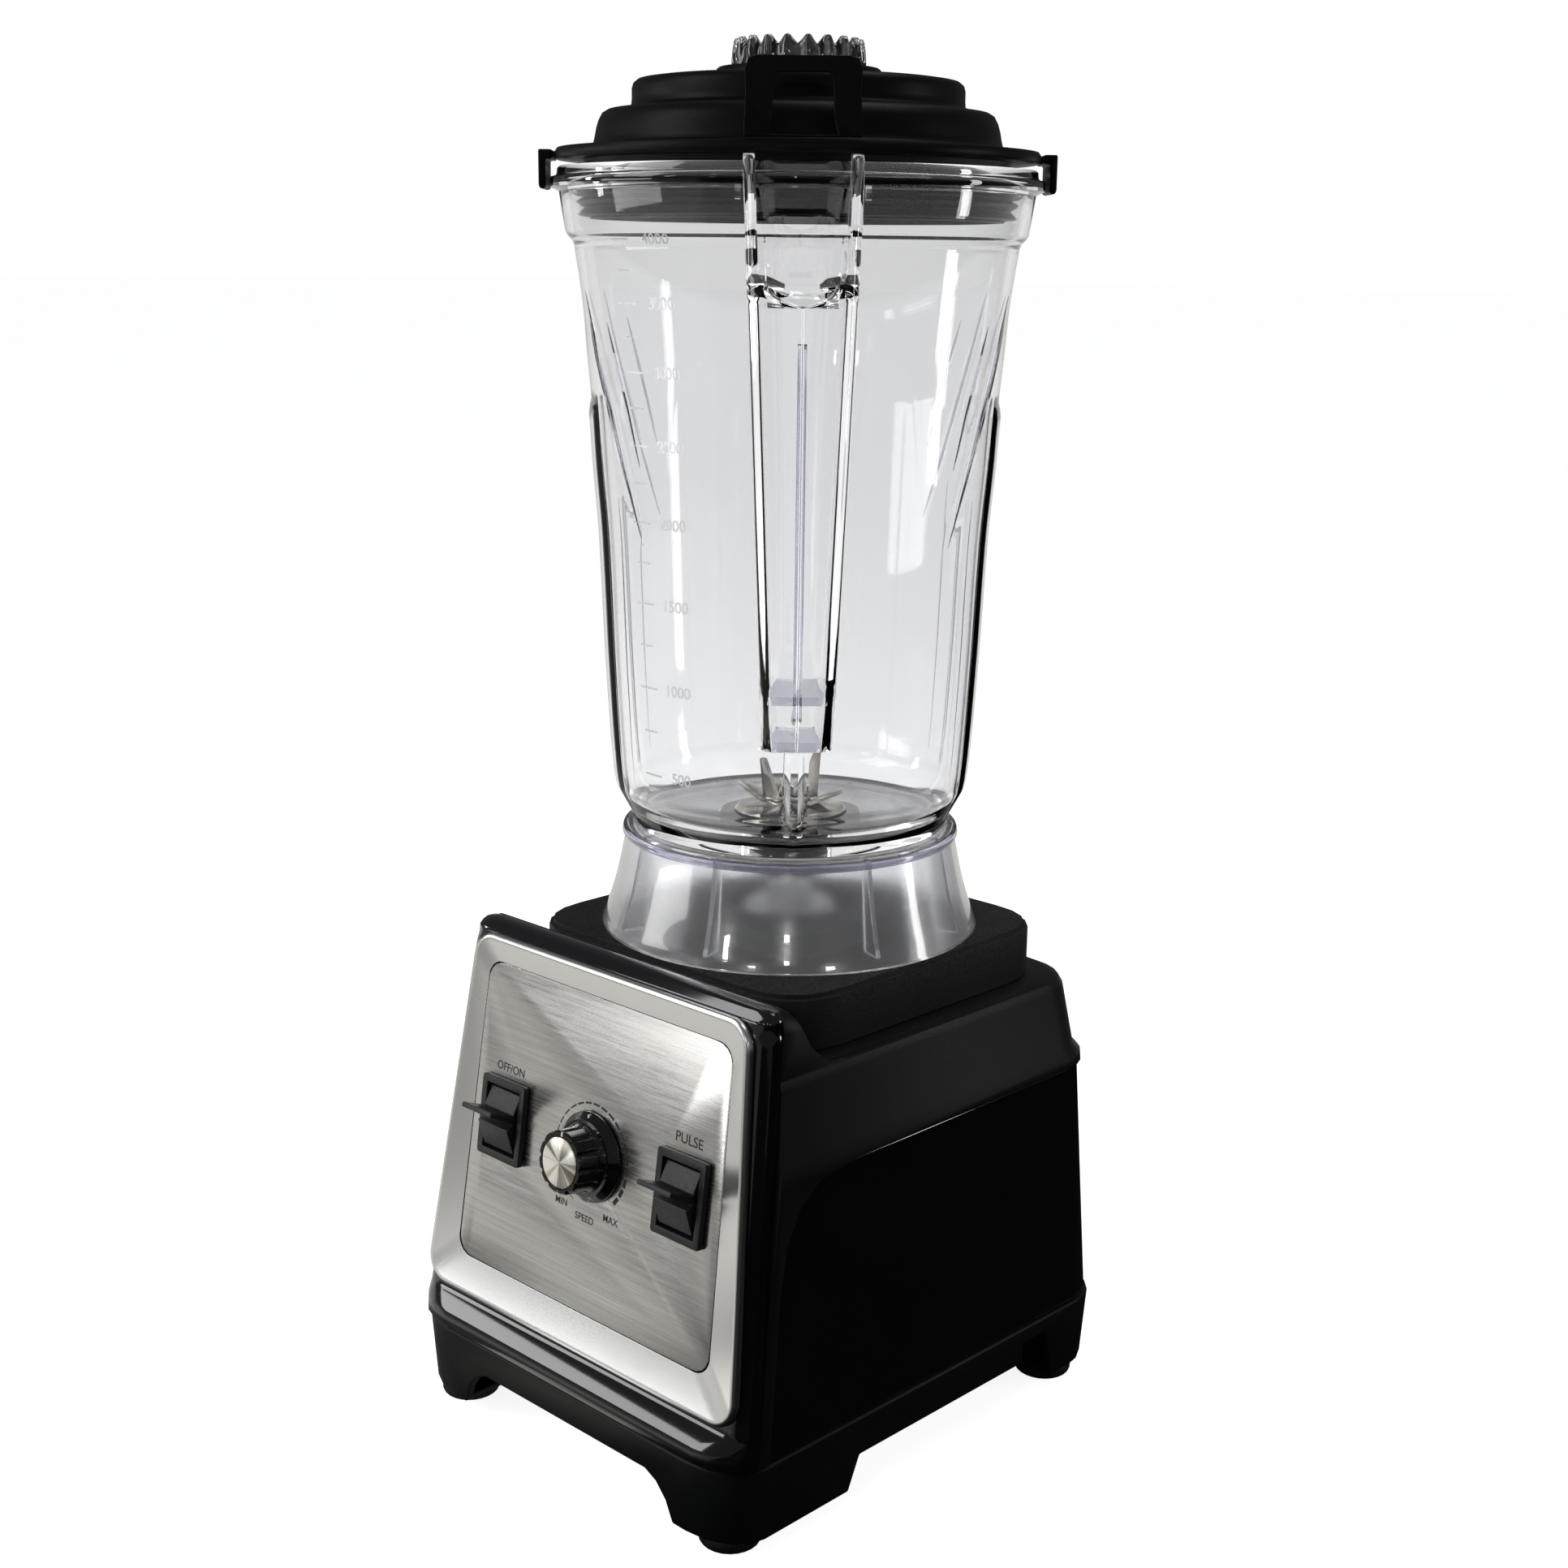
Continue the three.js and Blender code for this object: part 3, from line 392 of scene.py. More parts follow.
# Painted shade: the moulded edges are the jug's own plastic, tinted dark to stand for the dark
# lines that bent light shows along them.
EDGE_PAINTED_SHADE = ClearFinish(
    "moulded_edge_painted_shade", "clear_plastic", (0.5, 0.5, 0.56), (0.12, 0.12, 0.17), 0.04
)
SHELF_CLEAR = ClearFinish(
    "tinted_shelf_plastic", "clear_plastic", (0.52, 0.52, 0.6), (0.16, 0.16, 0.23), 0.05
)
SMOKE = ClearFinish(
    "smoky_skirt_plastic", "smoke_plastic", (0.84, 0.845, 0.865), (0.35, 0.35, 0.42),
    0.2, 0.8, shade=0.6,
)
FROSTED = ClearFinish("frosted_mark", "clear_plastic", (0.8, 0.8, 0.82), (0.5, 0.5, 0.54), 0.4)


# ---- shaping ----------------------------------------------------------------------------


def wire(points: Sequence[Point], closed: bool = True, across: str = "XZ") -> bmesh.types.BMesh:
    """Draws a line of edges through points in a plane.

    Args:
        points: The points, in the plane's two directions.
        closed: Whether the last point joins the first.
        across: The plane, XZ or XY.

    Returns:
        A new bmesh that holds the line.
    """
    made = bmesh.new()
    verts = [made.verts.new((a, 0, b) if across == "XZ" else (a, b, 0)) for a, b in points]
    for one, two in zip(verts, verts[1:] + (verts[:1] if closed else [])):
        made.edges.new((one, two))
    return made


def spun(profile: Profile, steps: int = 128, closed: bool = True) -> bmesh.types.BMesh:
    """Spins an outline of radius and height all the way about Z.

    Args:
        profile: The outline.
        steps: How many steps go round.
        closed: Whether the outline is a ring of its own, clear of the axis.

    Returns:
        A new closed bmesh.
    """
    made = wire(profile, closed)
    line = made.verts[:] + made.edges[:]
    bmesh.ops.spin(made, geom=line, axis=(0, 0, 1), angle=FULL_TURN, steps=steps, use_merge=True)
    return welded(made)


def welded(made: bmesh.types.BMesh, near: float = 1e-4) -> bmesh.types.BMesh:
    """Merges doubles and turns every face outward.

    Args:
        made: The bmesh, which is changed.
        near: How near two points are to be one, in its own units.

    Returns:
        The same bmesh.
    """
    bmesh.ops.remove_doubles(made, verts=made.verts[:], dist=near)
    bmesh.ops.recalc_face_normals(made, faces=made.faces[:])
    return made


def raised(
    points: Sequence[Point], low: float, high: float, across: str = "XY"
) -> bmesh.types.BMesh:
    """Raises a flat outline into a solid between two heights.

    Args:
        points: The outline, once round.
        low: Height of its bottom, square to its plane.
        high: Height of its top.
        across: Its plane, XY or XZ.

    Returns:
        A new closed bmesh.
    """
    up = Vector((0, 0, 1) if across == "XY" else (0, 1, 0))
    made = wire(points, across=across)
    bmesh.ops.contextual_create(made, geom=made.edges[:])
    bmesh.ops.translate(made, verts=made.verts[:], vec=up * low)
    grown = bmesh.ops.extrude_face_region(made, geom=made.faces[:], use_keep_orig=True)
    top = [part for part in grown["geom"] if isinstance(part, bmesh.types.BMVert)]
    bmesh.ops.translate(made, verts=top, vec=up * (high - low))
    return welded(made)


def stacked(
    rings: Sequence[tuple[Sequence[Point], float]], ring: bool = False
) -> bmesh.types.BMesh:
    """Bridges level outlines that all hold the same number of points.

    Args:
        rings: Each outline with its height, in order.
        ring: Whether the last outline is bridged back to the first.

    Returns:
        A new closed bmesh, capped at both ends unless it is a ring.
    """
    made = bmesh.new()
    loops = []
    for points, height in rings:
        verts = [made.verts.new((x, y, height)) for x, y in points]
        loops.append([made.edges.new(pair) for pair in zip(verts, verts[1:] + verts[:1])])
    for lower, upper in zip(loops, loops[1:] + (loops[:1] if ring else [])):
        bmesh.ops.bridge_loops(made, edges=lower + upper)
    if not ring:
        for end in (loops[0], loops[-1]):
            bmesh.ops.contextual_create(made, geom=end)
    return welded(made)


def joined(*parts: bmesh.types.BMesh) -> bmesh.types.BMesh:
    """Puts several bmeshes together.

    Args:
        *parts: The bmeshes. All but the first are used up.

    Returns:
        The first one, which holds them all.
    """
    first = parts[0]
    for part in parts[1:]:
        spare = bpy.data.meshes.new("spare")
        part.to_mesh(spare)
        part.free()
        first.from_mesh(spare)
        bpy.data.meshes.remove(spare)
    return first


def moved(made: bmesh.types.BMesh, matrix: Matrix) -> bmesh.types.BMesh:
    """Moves a whole bmesh by a matrix, and returns it."""
    bmesh.ops.transform(made, matrix=matrix, verts=made.verts[:])
    return made


def reshaped(made: bmesh.types.BMesh, change: Callable[[Vector], Vector]) -> bmesh.types.BMesh:
    """Moves each point of a bmesh by a rule.

    Args:
        made: The bmesh, which is changed.
        change: Gives the new place of a point.

    Returns:
        The same bmesh.
    """
    for vert in made.verts:
        vert.co = change(vert.co.copy())
    return made


def pushed(point: Vector, out: float, up: float = 0.0) -> Vector:
    """Returns a point moved out from the Z axis, and up."""
    grow = 1 + out / math.hypot(point.x, point.y)
    return Vector((point.x * grow, point.y * grow, point.z + up))


def curved(stretch: Sequence[float], t: float) -> float:
    """Reads one coordinate of a smooth line.

    Args:
        stretch: The coordinate at four points that follow each other.
        t: How far the place is from the second to the third, from 0 to 1.

    Returns:
        The coordinate there.
    """
    a, b, c, d = stretch
    square = (2 * a - 5 * b + 4 * c - d) * t * t
    cube = (3 * b - a - 3 * c + d) * t**3
    return 0.5 * (2 * b + (c - a) * t + square + cube)


def flowing(points: Profile, step: float) -> Profile:
    """Draws a smooth line through points.

    Args:
        points: The points that it passes.
        step: About how far apart its own points lie.

    Returns:
        The line's points, the given ones among them.
    """
    ends = [points[0], *points, points[-1]]
    line: Profile = []
    for before, start, end, after in zip(ends, ends[1:], ends[2:], ends[3:]):
        count = max(1, round(math.dist(start, end) / step))
        for i in range(count):
            line.append(tuple(curved(four, i / count) for four in zip(before, start, end, after)))
    return [*line, points[-1]]


def mirrored(line: Sequence[Point]) -> list[Point]:
    """Returns a line's mirror image across its first direction, run backward."""
    return [(x, -y) for x, y in reversed(line)]


def radius_at(line: Profile, height: float) -> float:
    """Reads a line at a height.

    Args:
        line: Its points, as radius and height, from the bottom up.
        height: The height, in millimetres.

    Returns:
        The radius there, or the topmost one outside the line.
    """
    for (r0, z0), (r1, z1) in zip(line, line[1:]):
        if z0 <= height <= z1:
            return r0 + (r1 - r0) * (height - z0) / (z1 - z0)
    return line[-1][0]


def eased(value: float, low: float, high: float) -> float:
    """Rises smoothly from 0 at low to 1 at high."""
    t = min(1.0, max(0.0, (value - low) / (high - low)))
    return t * t * (3 - 2 * t)


@dataclass
class RoundedTrapezoid:
    """An upright outline, as wide at its top and bottom as it says, with rounded corners."""

    top_half: float
    bottom_half: float
    top: float
    bottom: float
    radius: float

    def inset(self, by: float) -> "RoundedTrapezoid":
        """Returns the same outline with every side moved in."""
        top, bottom, radius = self.top - by, self.bottom + by, max(0.4, self.radius - by)
        return RoundedTrapezoid(self.top_half - by, self.bottom_half - by, top, bottom, radius)

    def points(self, steps: int = 10) -> list[Point]:
        """Draws the outline, counterclockwise.

        Args:
            steps: Steps in each rounded corner.

        Returns:
            Its points.
        """
        radius = self.radius
        corners = [
            (self.bottom_half, self.bottom, -90),
            (self.top_half, self.top, 0),
            (-self.top_half, self.top, 90),
            (-self.bottom_half, self.bottom, 180),
        ]
        line = []
        line = []
        for x, y, start in corners:
            centre = Vector((x - math.copysign(radius, x), y - math.copysign(radius, y)))
            for i in range(steps + 1):
                angle = math.radians(start + 90 * i / steps)
                line.append(tuple(centre + radius * Vector((math.cos(angle), math.sin(angle)))))
        return line


def rounded_rectangle(
    half_width: float, half_height: float, radius: float, steps: int = 8
) -> list[Point]:
    """Returns the points of a rectangle with rounded corners."""
    return RoundedTrapezoid(half_width, half_width, half_height, -half_height, radius).points(steps)


def linked(name: str, data: bpy.types.ID) -> bpy.types.Object:
    """Makes an object and links it to the scene.

    Args:
        name: Its name.
        data: Its mesh, lamp or camera.

    Returns:
        The object.
    """
    obj = bpy.data.objects.new(name, data)
    bpy.context.scene.collection.objects.link(obj)
    return obj


@dataclass
class Bench:
    """Turns bmeshes and copies of the frame's nodes into finished pieces."""

    nodes: dict[str, bpy.types.Object]
    sharpest: float = 32.0  # degrees, edges turned less than this are not rounded

    def dress(
        self,
        obj: bpy.types.Object,
        body: str,
        finish: AnyFinish,
        bevel: float,
        segments: int,
    ) -> bpy.types.Object:
        """Gives a piece its finish, its rounded edges and its body.

        Args:
            obj: The piece, in the object's frame.
            body: The body that it rides on.
            finish: Its finish.
            bevel: How far its edges are rounded, in millimetres, or 0.
            segments: Steps in the rounding.

        Returns:
            The same piece.
        """
        obj.data.materials.clear()
        obj.data.materials.append(finish.material())
        if bevel:
            edge = obj.modifiers.new("edges", "BEVEL")
            edge.width = bevel / 1000
            edge.segments = segments
            edge.limit_method = "ANGLE"
            edge.angle_limit = math.radians(self.sharpest)
            edge.harden_normals = True
            edge.use_clamp_overlap = True
        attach(obj, body)
        log.info("%s: %d faces, %s", obj.name, len(obj.data.polygons), finish.name)
        return obj

    def piece(
        self,
        name: str,
        made: bmesh.types.BMesh,
        body: str,
        finish: AnyFinish,
        place: Place = Place.AXIS,
        replaces: Iterable[str] = (),
        bevel: float = 0.0,
        sharp: float = 40.0,
        segments: int = 3,
    ) -> bpy.types.Object:
        """Finishes a bmesh as a piece.

        Args:
            name: The piece's name.
            made: Its mesh, in millimetres, which is used up.
            body: The body that it rides on.
            finish: Its finish.
            place: The frame that it is drawn in.
            replaces: The frame's nodes that it stands for.
            bevel: How far its edges are rounded, in millimetres, or 0.
            sharp: Edges over this many degrees stay sharp.
            segments: Steps in the rounding.

        Returns:
            The piece.
        """
        moved(made, place.matrix())
        mesh = bpy.data.meshes.new(name)
        made.to_mesh(mesh)
        made.free()
        mesh.shade_smooth()
        if not bevel:
            mesh.set_sharp_from_angle(angle=math.radians(sharp))
        obj = linked(name, mesh)
        self.dress(obj, body, finish, bevel, segments)
        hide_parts(*replaces)
        return obj

    def copied(self, node: str) -> bmesh.types.BMesh:
        """Copies a node of the frame, merged and with its flat faces whole.

        Args:
            node: The node's name.

        Returns:
            A new bmesh, in millimetres about the jug's axis.
        """
        made = bmesh.new()
        made.from_mesh(self.nodes[node].data)
        bmesh.ops.remove_doubles(made, verts=made.verts[:], dist=2e-6)
        flat = math.radians(0.4)
        bmesh.ops.dissolve_limit(
            made, angle_limit=flat, verts=made.verts[:], edges=made.edges[:], delimit=set()
        )
        return moved(made, Place.AXIS.matrix().inverted())

    def softened(
        self,
        node: str,
        finish: AnyFinish,
        bevel: float = 0.6,
        segments: int = 3,
        change: Callable[[bmesh.types.BMesh], bmesh.types.BMesh] = lambda made: made,
    ) -> bpy.types.Object:
        """Replaces a node with a merged copy whose edges are rounded.

        Args:
            node: The node's name.
            finish: The copy's finish.
            bevel: How far its edges are rounded, in millimetres.
            segments: Steps in the rounding.
            change: What else is done to the copy's shape.

        Returns:
            The copy.
        """
        name, body = node + "_moulded", self.nodes[node]["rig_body"]
        made = change(self.copied(node))
        return self.piece(name, made, body, finish, Place.AXIS, (node,), bevel, segments=segments)

    def dress_nodes(self, finish: AnyFinish, *names: str) -> None:
        """Gives nodes of the frame that keep their own shape a finish.

        Args:
            finish: The finish.
            *names: The nodes.
        """
        for name in names:
            data = self.nodes[name].data
            data.materials.clear()
            data.materials.append(finish.material())


# ---- motor base -------------------------------------------------------------------------


@dataclass
class MotorBase:
    """The black shells, feet and seat pad of the base, and the motor inside."""

    bench: Bench
    fin_top: float = 213.5
    fin_rear: float = -74.0  # the fin behind the panel ends here
    fin_half: float = 88.2
    fin_draft: float = 4.5  # how far the node's own fin leans in by its top
    fin_foot: float = 205.0
    shoulder: float = 12.0  # radius of the shoulders
    shoulder_share: float = 0.82  # how much of the quarter circle is drawn in
    shoulder_reach: Point = (60.0, 76.0)  # half widths between which it sets in
    shoulder_cuts: tuple[float, ...] = (203.5, 206, 208, 209.7, 211.1, 212.2, 213)

    def build(self) -> None:
        """Builds the shells and dresses the motor."""
        for node, finish, bevel in (
            ("base_plinth", SATIN_BLACK, 1.2),
            ("lower_housing", GLOSS_BLACK, 0.8),
            ("jug_seat_pad", PAD_RUBBER, 2.4),
            ("power_inlet", SATIN_BLACK, 0.4),
        ):
            self.bench.softened(node, finish, bevel)
        self.bench.softened("upper_housing", SATIN_BLACK, 1.4, change=self.with_shoulders)
        self.bench.softened("front_bezel", GLOSS_BLACK, 1.0, change=self.with_shoulders)
        for corner in ("front_left", "front_right", "rear_left", "rear_right"):
            self.bench.softened("foot_" + corner, PAD_RUBBER, 1.2)
        self.dress_motor()

    def with_shoulders(self, made: bmesh.types.BMesh) -> bmesh.types.BMesh:
        """Rounds the upper corners of a shell that ends behind the panel.

        Args:
            made: The shell, which is changed.

        Returns:
            The same bmesh.
        """
        for height in self.shoulder_cuts:
            parts = made.verts[:] + made.edges[:] + made.faces[:]
            bmesh.ops.bisect_plane(made, geom=parts, plane_co=(0, 0, height), plane_no=(0, 0, 1))
        return reshaped(made, self.shouldered)

    def shouldered(self, point: Vector) -> Vector:
        """Draws a shell's top corners in along a quarter circle.

        Args:
            point: A point of the shell.

        Returns:
            Its new place.
        """
        side, radius = abs(point.x), self.shoulder
        rise = point.z - (self.fin_top - radius)
        if rise <= 0 or side < self.shoulder_reach[0] or point.y > self.fin_rear:
            return point
        drawn = radius - math.sqrt(max(0.0, radius**2 - min(rise, radius) ** 2))
        leans = self.fin_draft * eased(point.z, self.fin_foot, self.fin_top)
        already = leans if side < self.fin_half else 0.0
        by = max(0.0, drawn * self.shoulder_share - already) * eased(side, *self.shoulder_reach)
        return Vector((point.x - math.copysign(by, point.x), point.y, point.z))

    def dress_motor(self) -> None:
        """Gives the hidden motor parts their finishes."""
        dress = self.bench.dress_nodes
        dress(SATIN_BLACK, "bottom_plate", "fan_shroud", "cooling_fan")
        dress(SATIN_SILVER, "motor_bracket_top", "motor_bracket_bottom")
        dress(STEEL, "motor_stator", "bearing_top", "bearing_bottom", "motor_shaft")
        dress(STEEL, "speed_potentiometer", "potentiometer_nut", "potentiometer_shaft")
        dress(COPPER, "field_coil_left", "field_coil_right", "armature", "commutator")
        dress(COPPER, "brush_holder_left", "brush_holder_right")
        dress(BOARD, "control_board")
        self.bench.softened("drive_socket", STEEL, 0.5)


# ---- control panel ----------------------------------------------------------------------


@dataclass
class ControlPanel:
    """The silver frame, the brushed plate with its print, the switches and the speed knob."""

    bench: Bench
    outer: RoundedTrapezoid = field(
        default_factory=lambda: RoundedTrapezoid(82, 94, 78.3, -78.7, 12)
    )
    plate: RoundedTrapezoid = field(
        default_factory=lambda: RoundedTrapezoid(72.8, 77, 67.2, -62.3, 8)
    )
    knob_height: float = 2.6  # the knob's middle, up the panel
    knob_radius: float = 13.0
    knob_top: float = 17.5
    grip_foot: float = 6.2  # the knob's notches start above this
    notches: int = 12
    scale_radius: float = 21.5
    scale_dashes: int = 23
    scale_span: float = 293.0  # degrees
    print_face: float = 1.02  # where the print lies on the plate

    def build(self) -> None:
        """Builds every piece on the panel."""
        self.build_frame()
        self.bench.softened("control_panel", BRUSHED, 0.15, 2)
        for name in ("power", "pulse"):
            self.bench.softened(name + "_switch_housing", SWITCH_BLACK, 0.5)
            self.bench.softened(name + "_paddle", SWITCH_BLACK, 0.5)
        self.build_knob()
        self.build_scale()
        self.build_labels()

    def build_frame(self) -> None:
        """Builds the trim frame: a rounded bright rim, then a wide bevel down to the plate."""
        rings = [
            (self.outer, 0.3),
            (self.outer, 2.0),
            (self.outer.inset(0.5), 2.9),
            (self.outer.inset(1.4), 3.3),
            (self.outer.inset(2.3), 3.28),
            (self.outer.inset(2.9), 3.1),
            (self.plate.inset(-0.5), 1.2),
            (self.plate, 1.1),
            (self.plate, 0.3),
        ]
        made = stacked([(shape.points(), height) for shape, height in rings], ring=True)
        name, node = "trim_frame_bevelled", ("trim_frame",)
        self.bench.piece(name, made, "base", SATIN_SILVER, Place.PANEL, node, sharp=50)

    def build_knob(self) -> None:
        """Builds the fluted knob, its turned cap and its pointer."""
        top, radius = self.knob_top, self.knob_radius
        profile = [
            (3.6, 1.6), (18.0, 1.6), (18.3, 1.9), (18.3, 2.5), (18.0, 2.9), (15.9, 5.0),
            (15.5, 5.6), (14.2, 5.8), (13.6, 6.4), (radius, 9), (radius - 0.2, top - 0.8),
            (radius - 0.9, top), (10.6, top), (10.4, top - 0.3), (10.4, top - 1), (3.6, top - 1),
        ]
        knob = reshaped(spun(profile, 192), self.notched)
        line = [(0, top - 0.7), (10.1, top - 0.7), (10.1, top), (9.6, top + 0.25), (0, top + 0.1)]
        cap = spun(line, 96, False)
        rim = raised(rounded_rectangle(0.5, 1.0, 0.3, 3), top - 0.05, top + 0.12)
        skirt = raised(rounded_rectangle(0.5, 0.9, 0.3, 3), 2.6, 4.4)
        moved(rim, Matrix.Translation((0, 11.7, 0)))
        moved(skirt, Matrix.Translation((0, 16.9, 0)))
        onto_axis = Place.AXIS.matrix().inverted() @ Place.PANEL.matrix()
        # The cap's light and dark colours are its painted highlight and painted shade rays.
        turned = SpunFinish(
            "turned_cap_painted_highlights", "spun_aluminium", (1.0, 0.96, 0.88), (0.27, 0.25, 0.21),
            tuple(onto_axis @ Vector((0, self.knob_height, 0))),
        )
        for name, made, finish, node, sharp in (
            ("speed_knob_fluted", knob, GLOSS_BLACK, ("speed_knob",), 35),
            ("knob_cap_turned", cap, turned, ("knob_cap",), 30),
            ("knob_pointer", joined(rim, skirt), WHITE_INK, (), 30),
        ):
            moved(made, Matrix.Translation((0, self.knob_height, 0)))
            self.bench.piece(name, made, "speed_control", finish, Place.PANEL, node, sharp=sharp)

    def notched(self, point: Vector) -> Vector:
        """Presses soft notches into the knob's grip.

        Args:
            point: A point of the knob, about its own axis.

        Returns:
            Its new place.
        """
        if point.z < self.grip_foot or math.hypot(point.x, point.y) < 11:
            return point
        share = math.atan2(point.y, point.x) / FULL_TURN * self.notches
        off = abs(share - round(share)) * 2
        deep = (1 - eased(off, 0.0, 0.42)) * eased(point.z, self.grip_foot, 9)
        return pushed(point, -deep)

    def build_scale(self) -> None:
        """Builds the printed scale: dashes round the knob that thicken clockwise."""
        dashes = []
        count, span = self.scale_dashes, self.scale_span
        for i in range(count):
            start = math.radians(90 + span / 2 - span * i / count)
            sweep = math.radians(span / count * (0.96 if i < 7 else 0.78))
            thick = 0.35 + 1.5 * (i / (count - 1)) ** 1.6
            inner = self.scale_radius - thick / 2
            line = wire([(inner, 0), (inner + thick, 0)], closed=False, across="XY")
            moved(line, Matrix.Rotation(start, 4, "Z"))
            geometry = line.verts[:] + line.edges[:]
            bmesh.ops.spin(line, geom=geometry, axis=(0, 0, 1), angle=sweep, steps=4)
            moved(line, Matrix.Translation((0, self.knob_height, self.print_face)))
            bmesh.ops.recalc_face_normals(line, faces=line.faces[:])
            bmesh.ops.solidify(line, geom=line.faces[:], thickness=0.05)
            dashes.append(welded(line))
        self.bench.piece("speed_scale_print", joined(*dashes), "base", INK, Place.PANEL, sharp=30)

    def build_labels(self) -> None:
        """Builds the generic words beside the controls."""
        labels = {
            "OFF/ON": (-53.4, 24.1, 3.6),
            "PULSE": (54.0, 25.1, 4.2),
            "SPEED": (-0.4, -23.5, 3.0),
            "MIN": (-14.9, -20.6, 3.0),
            "MAX": (14.8, -19.6, 3.0),
        }
        face = self.print_face + 0.01
        words = [lettering(text, size, (u, v, face)) for text, (u, v, size) in labels.items()]
        made = joined(*words)
        self.bench.piece("control_labels_print", made, "base", INK, Place.PANEL, sharp=30)


def lettering(
    text: str, size: float, centre: Colour, thick: float = 0.05
) -> bmesh.types.BMesh:
    """Makes raised letters, centred on a point and lying in XY.

    Args:
        text: The letters.
        size: Their height, in millimetres.
        centre: Where their middle lies.
        thick: How far they stand up.

    Returns:
        A new bmesh.
    """
    curve = bpy.data.curves.new("letters", "FONT")
    curve.body = text
    curve.size = size * 1.38  # the font's capitals fill this share of its size
    curve.extrude = thick / 2
    curve.offset = size * 0.012
    curve.align_x = "CENTER"
    curve.align_y = "CENTER"
    obj = bpy.data.objects.new("letters", curve)
    mesh = bpy.data.meshes.new_from_object(obj)
    made = bmesh.new()
    made.from_mesh(mesh)
    bpy.data.objects.remove(obj)
    bpy.data.curves.remove(curve)
    bpy.data.meshes.remove(mesh)
    return moved(welded(made), Matrix.Translation(centre))


# ---- jug --------------------------------------------------------------------------------


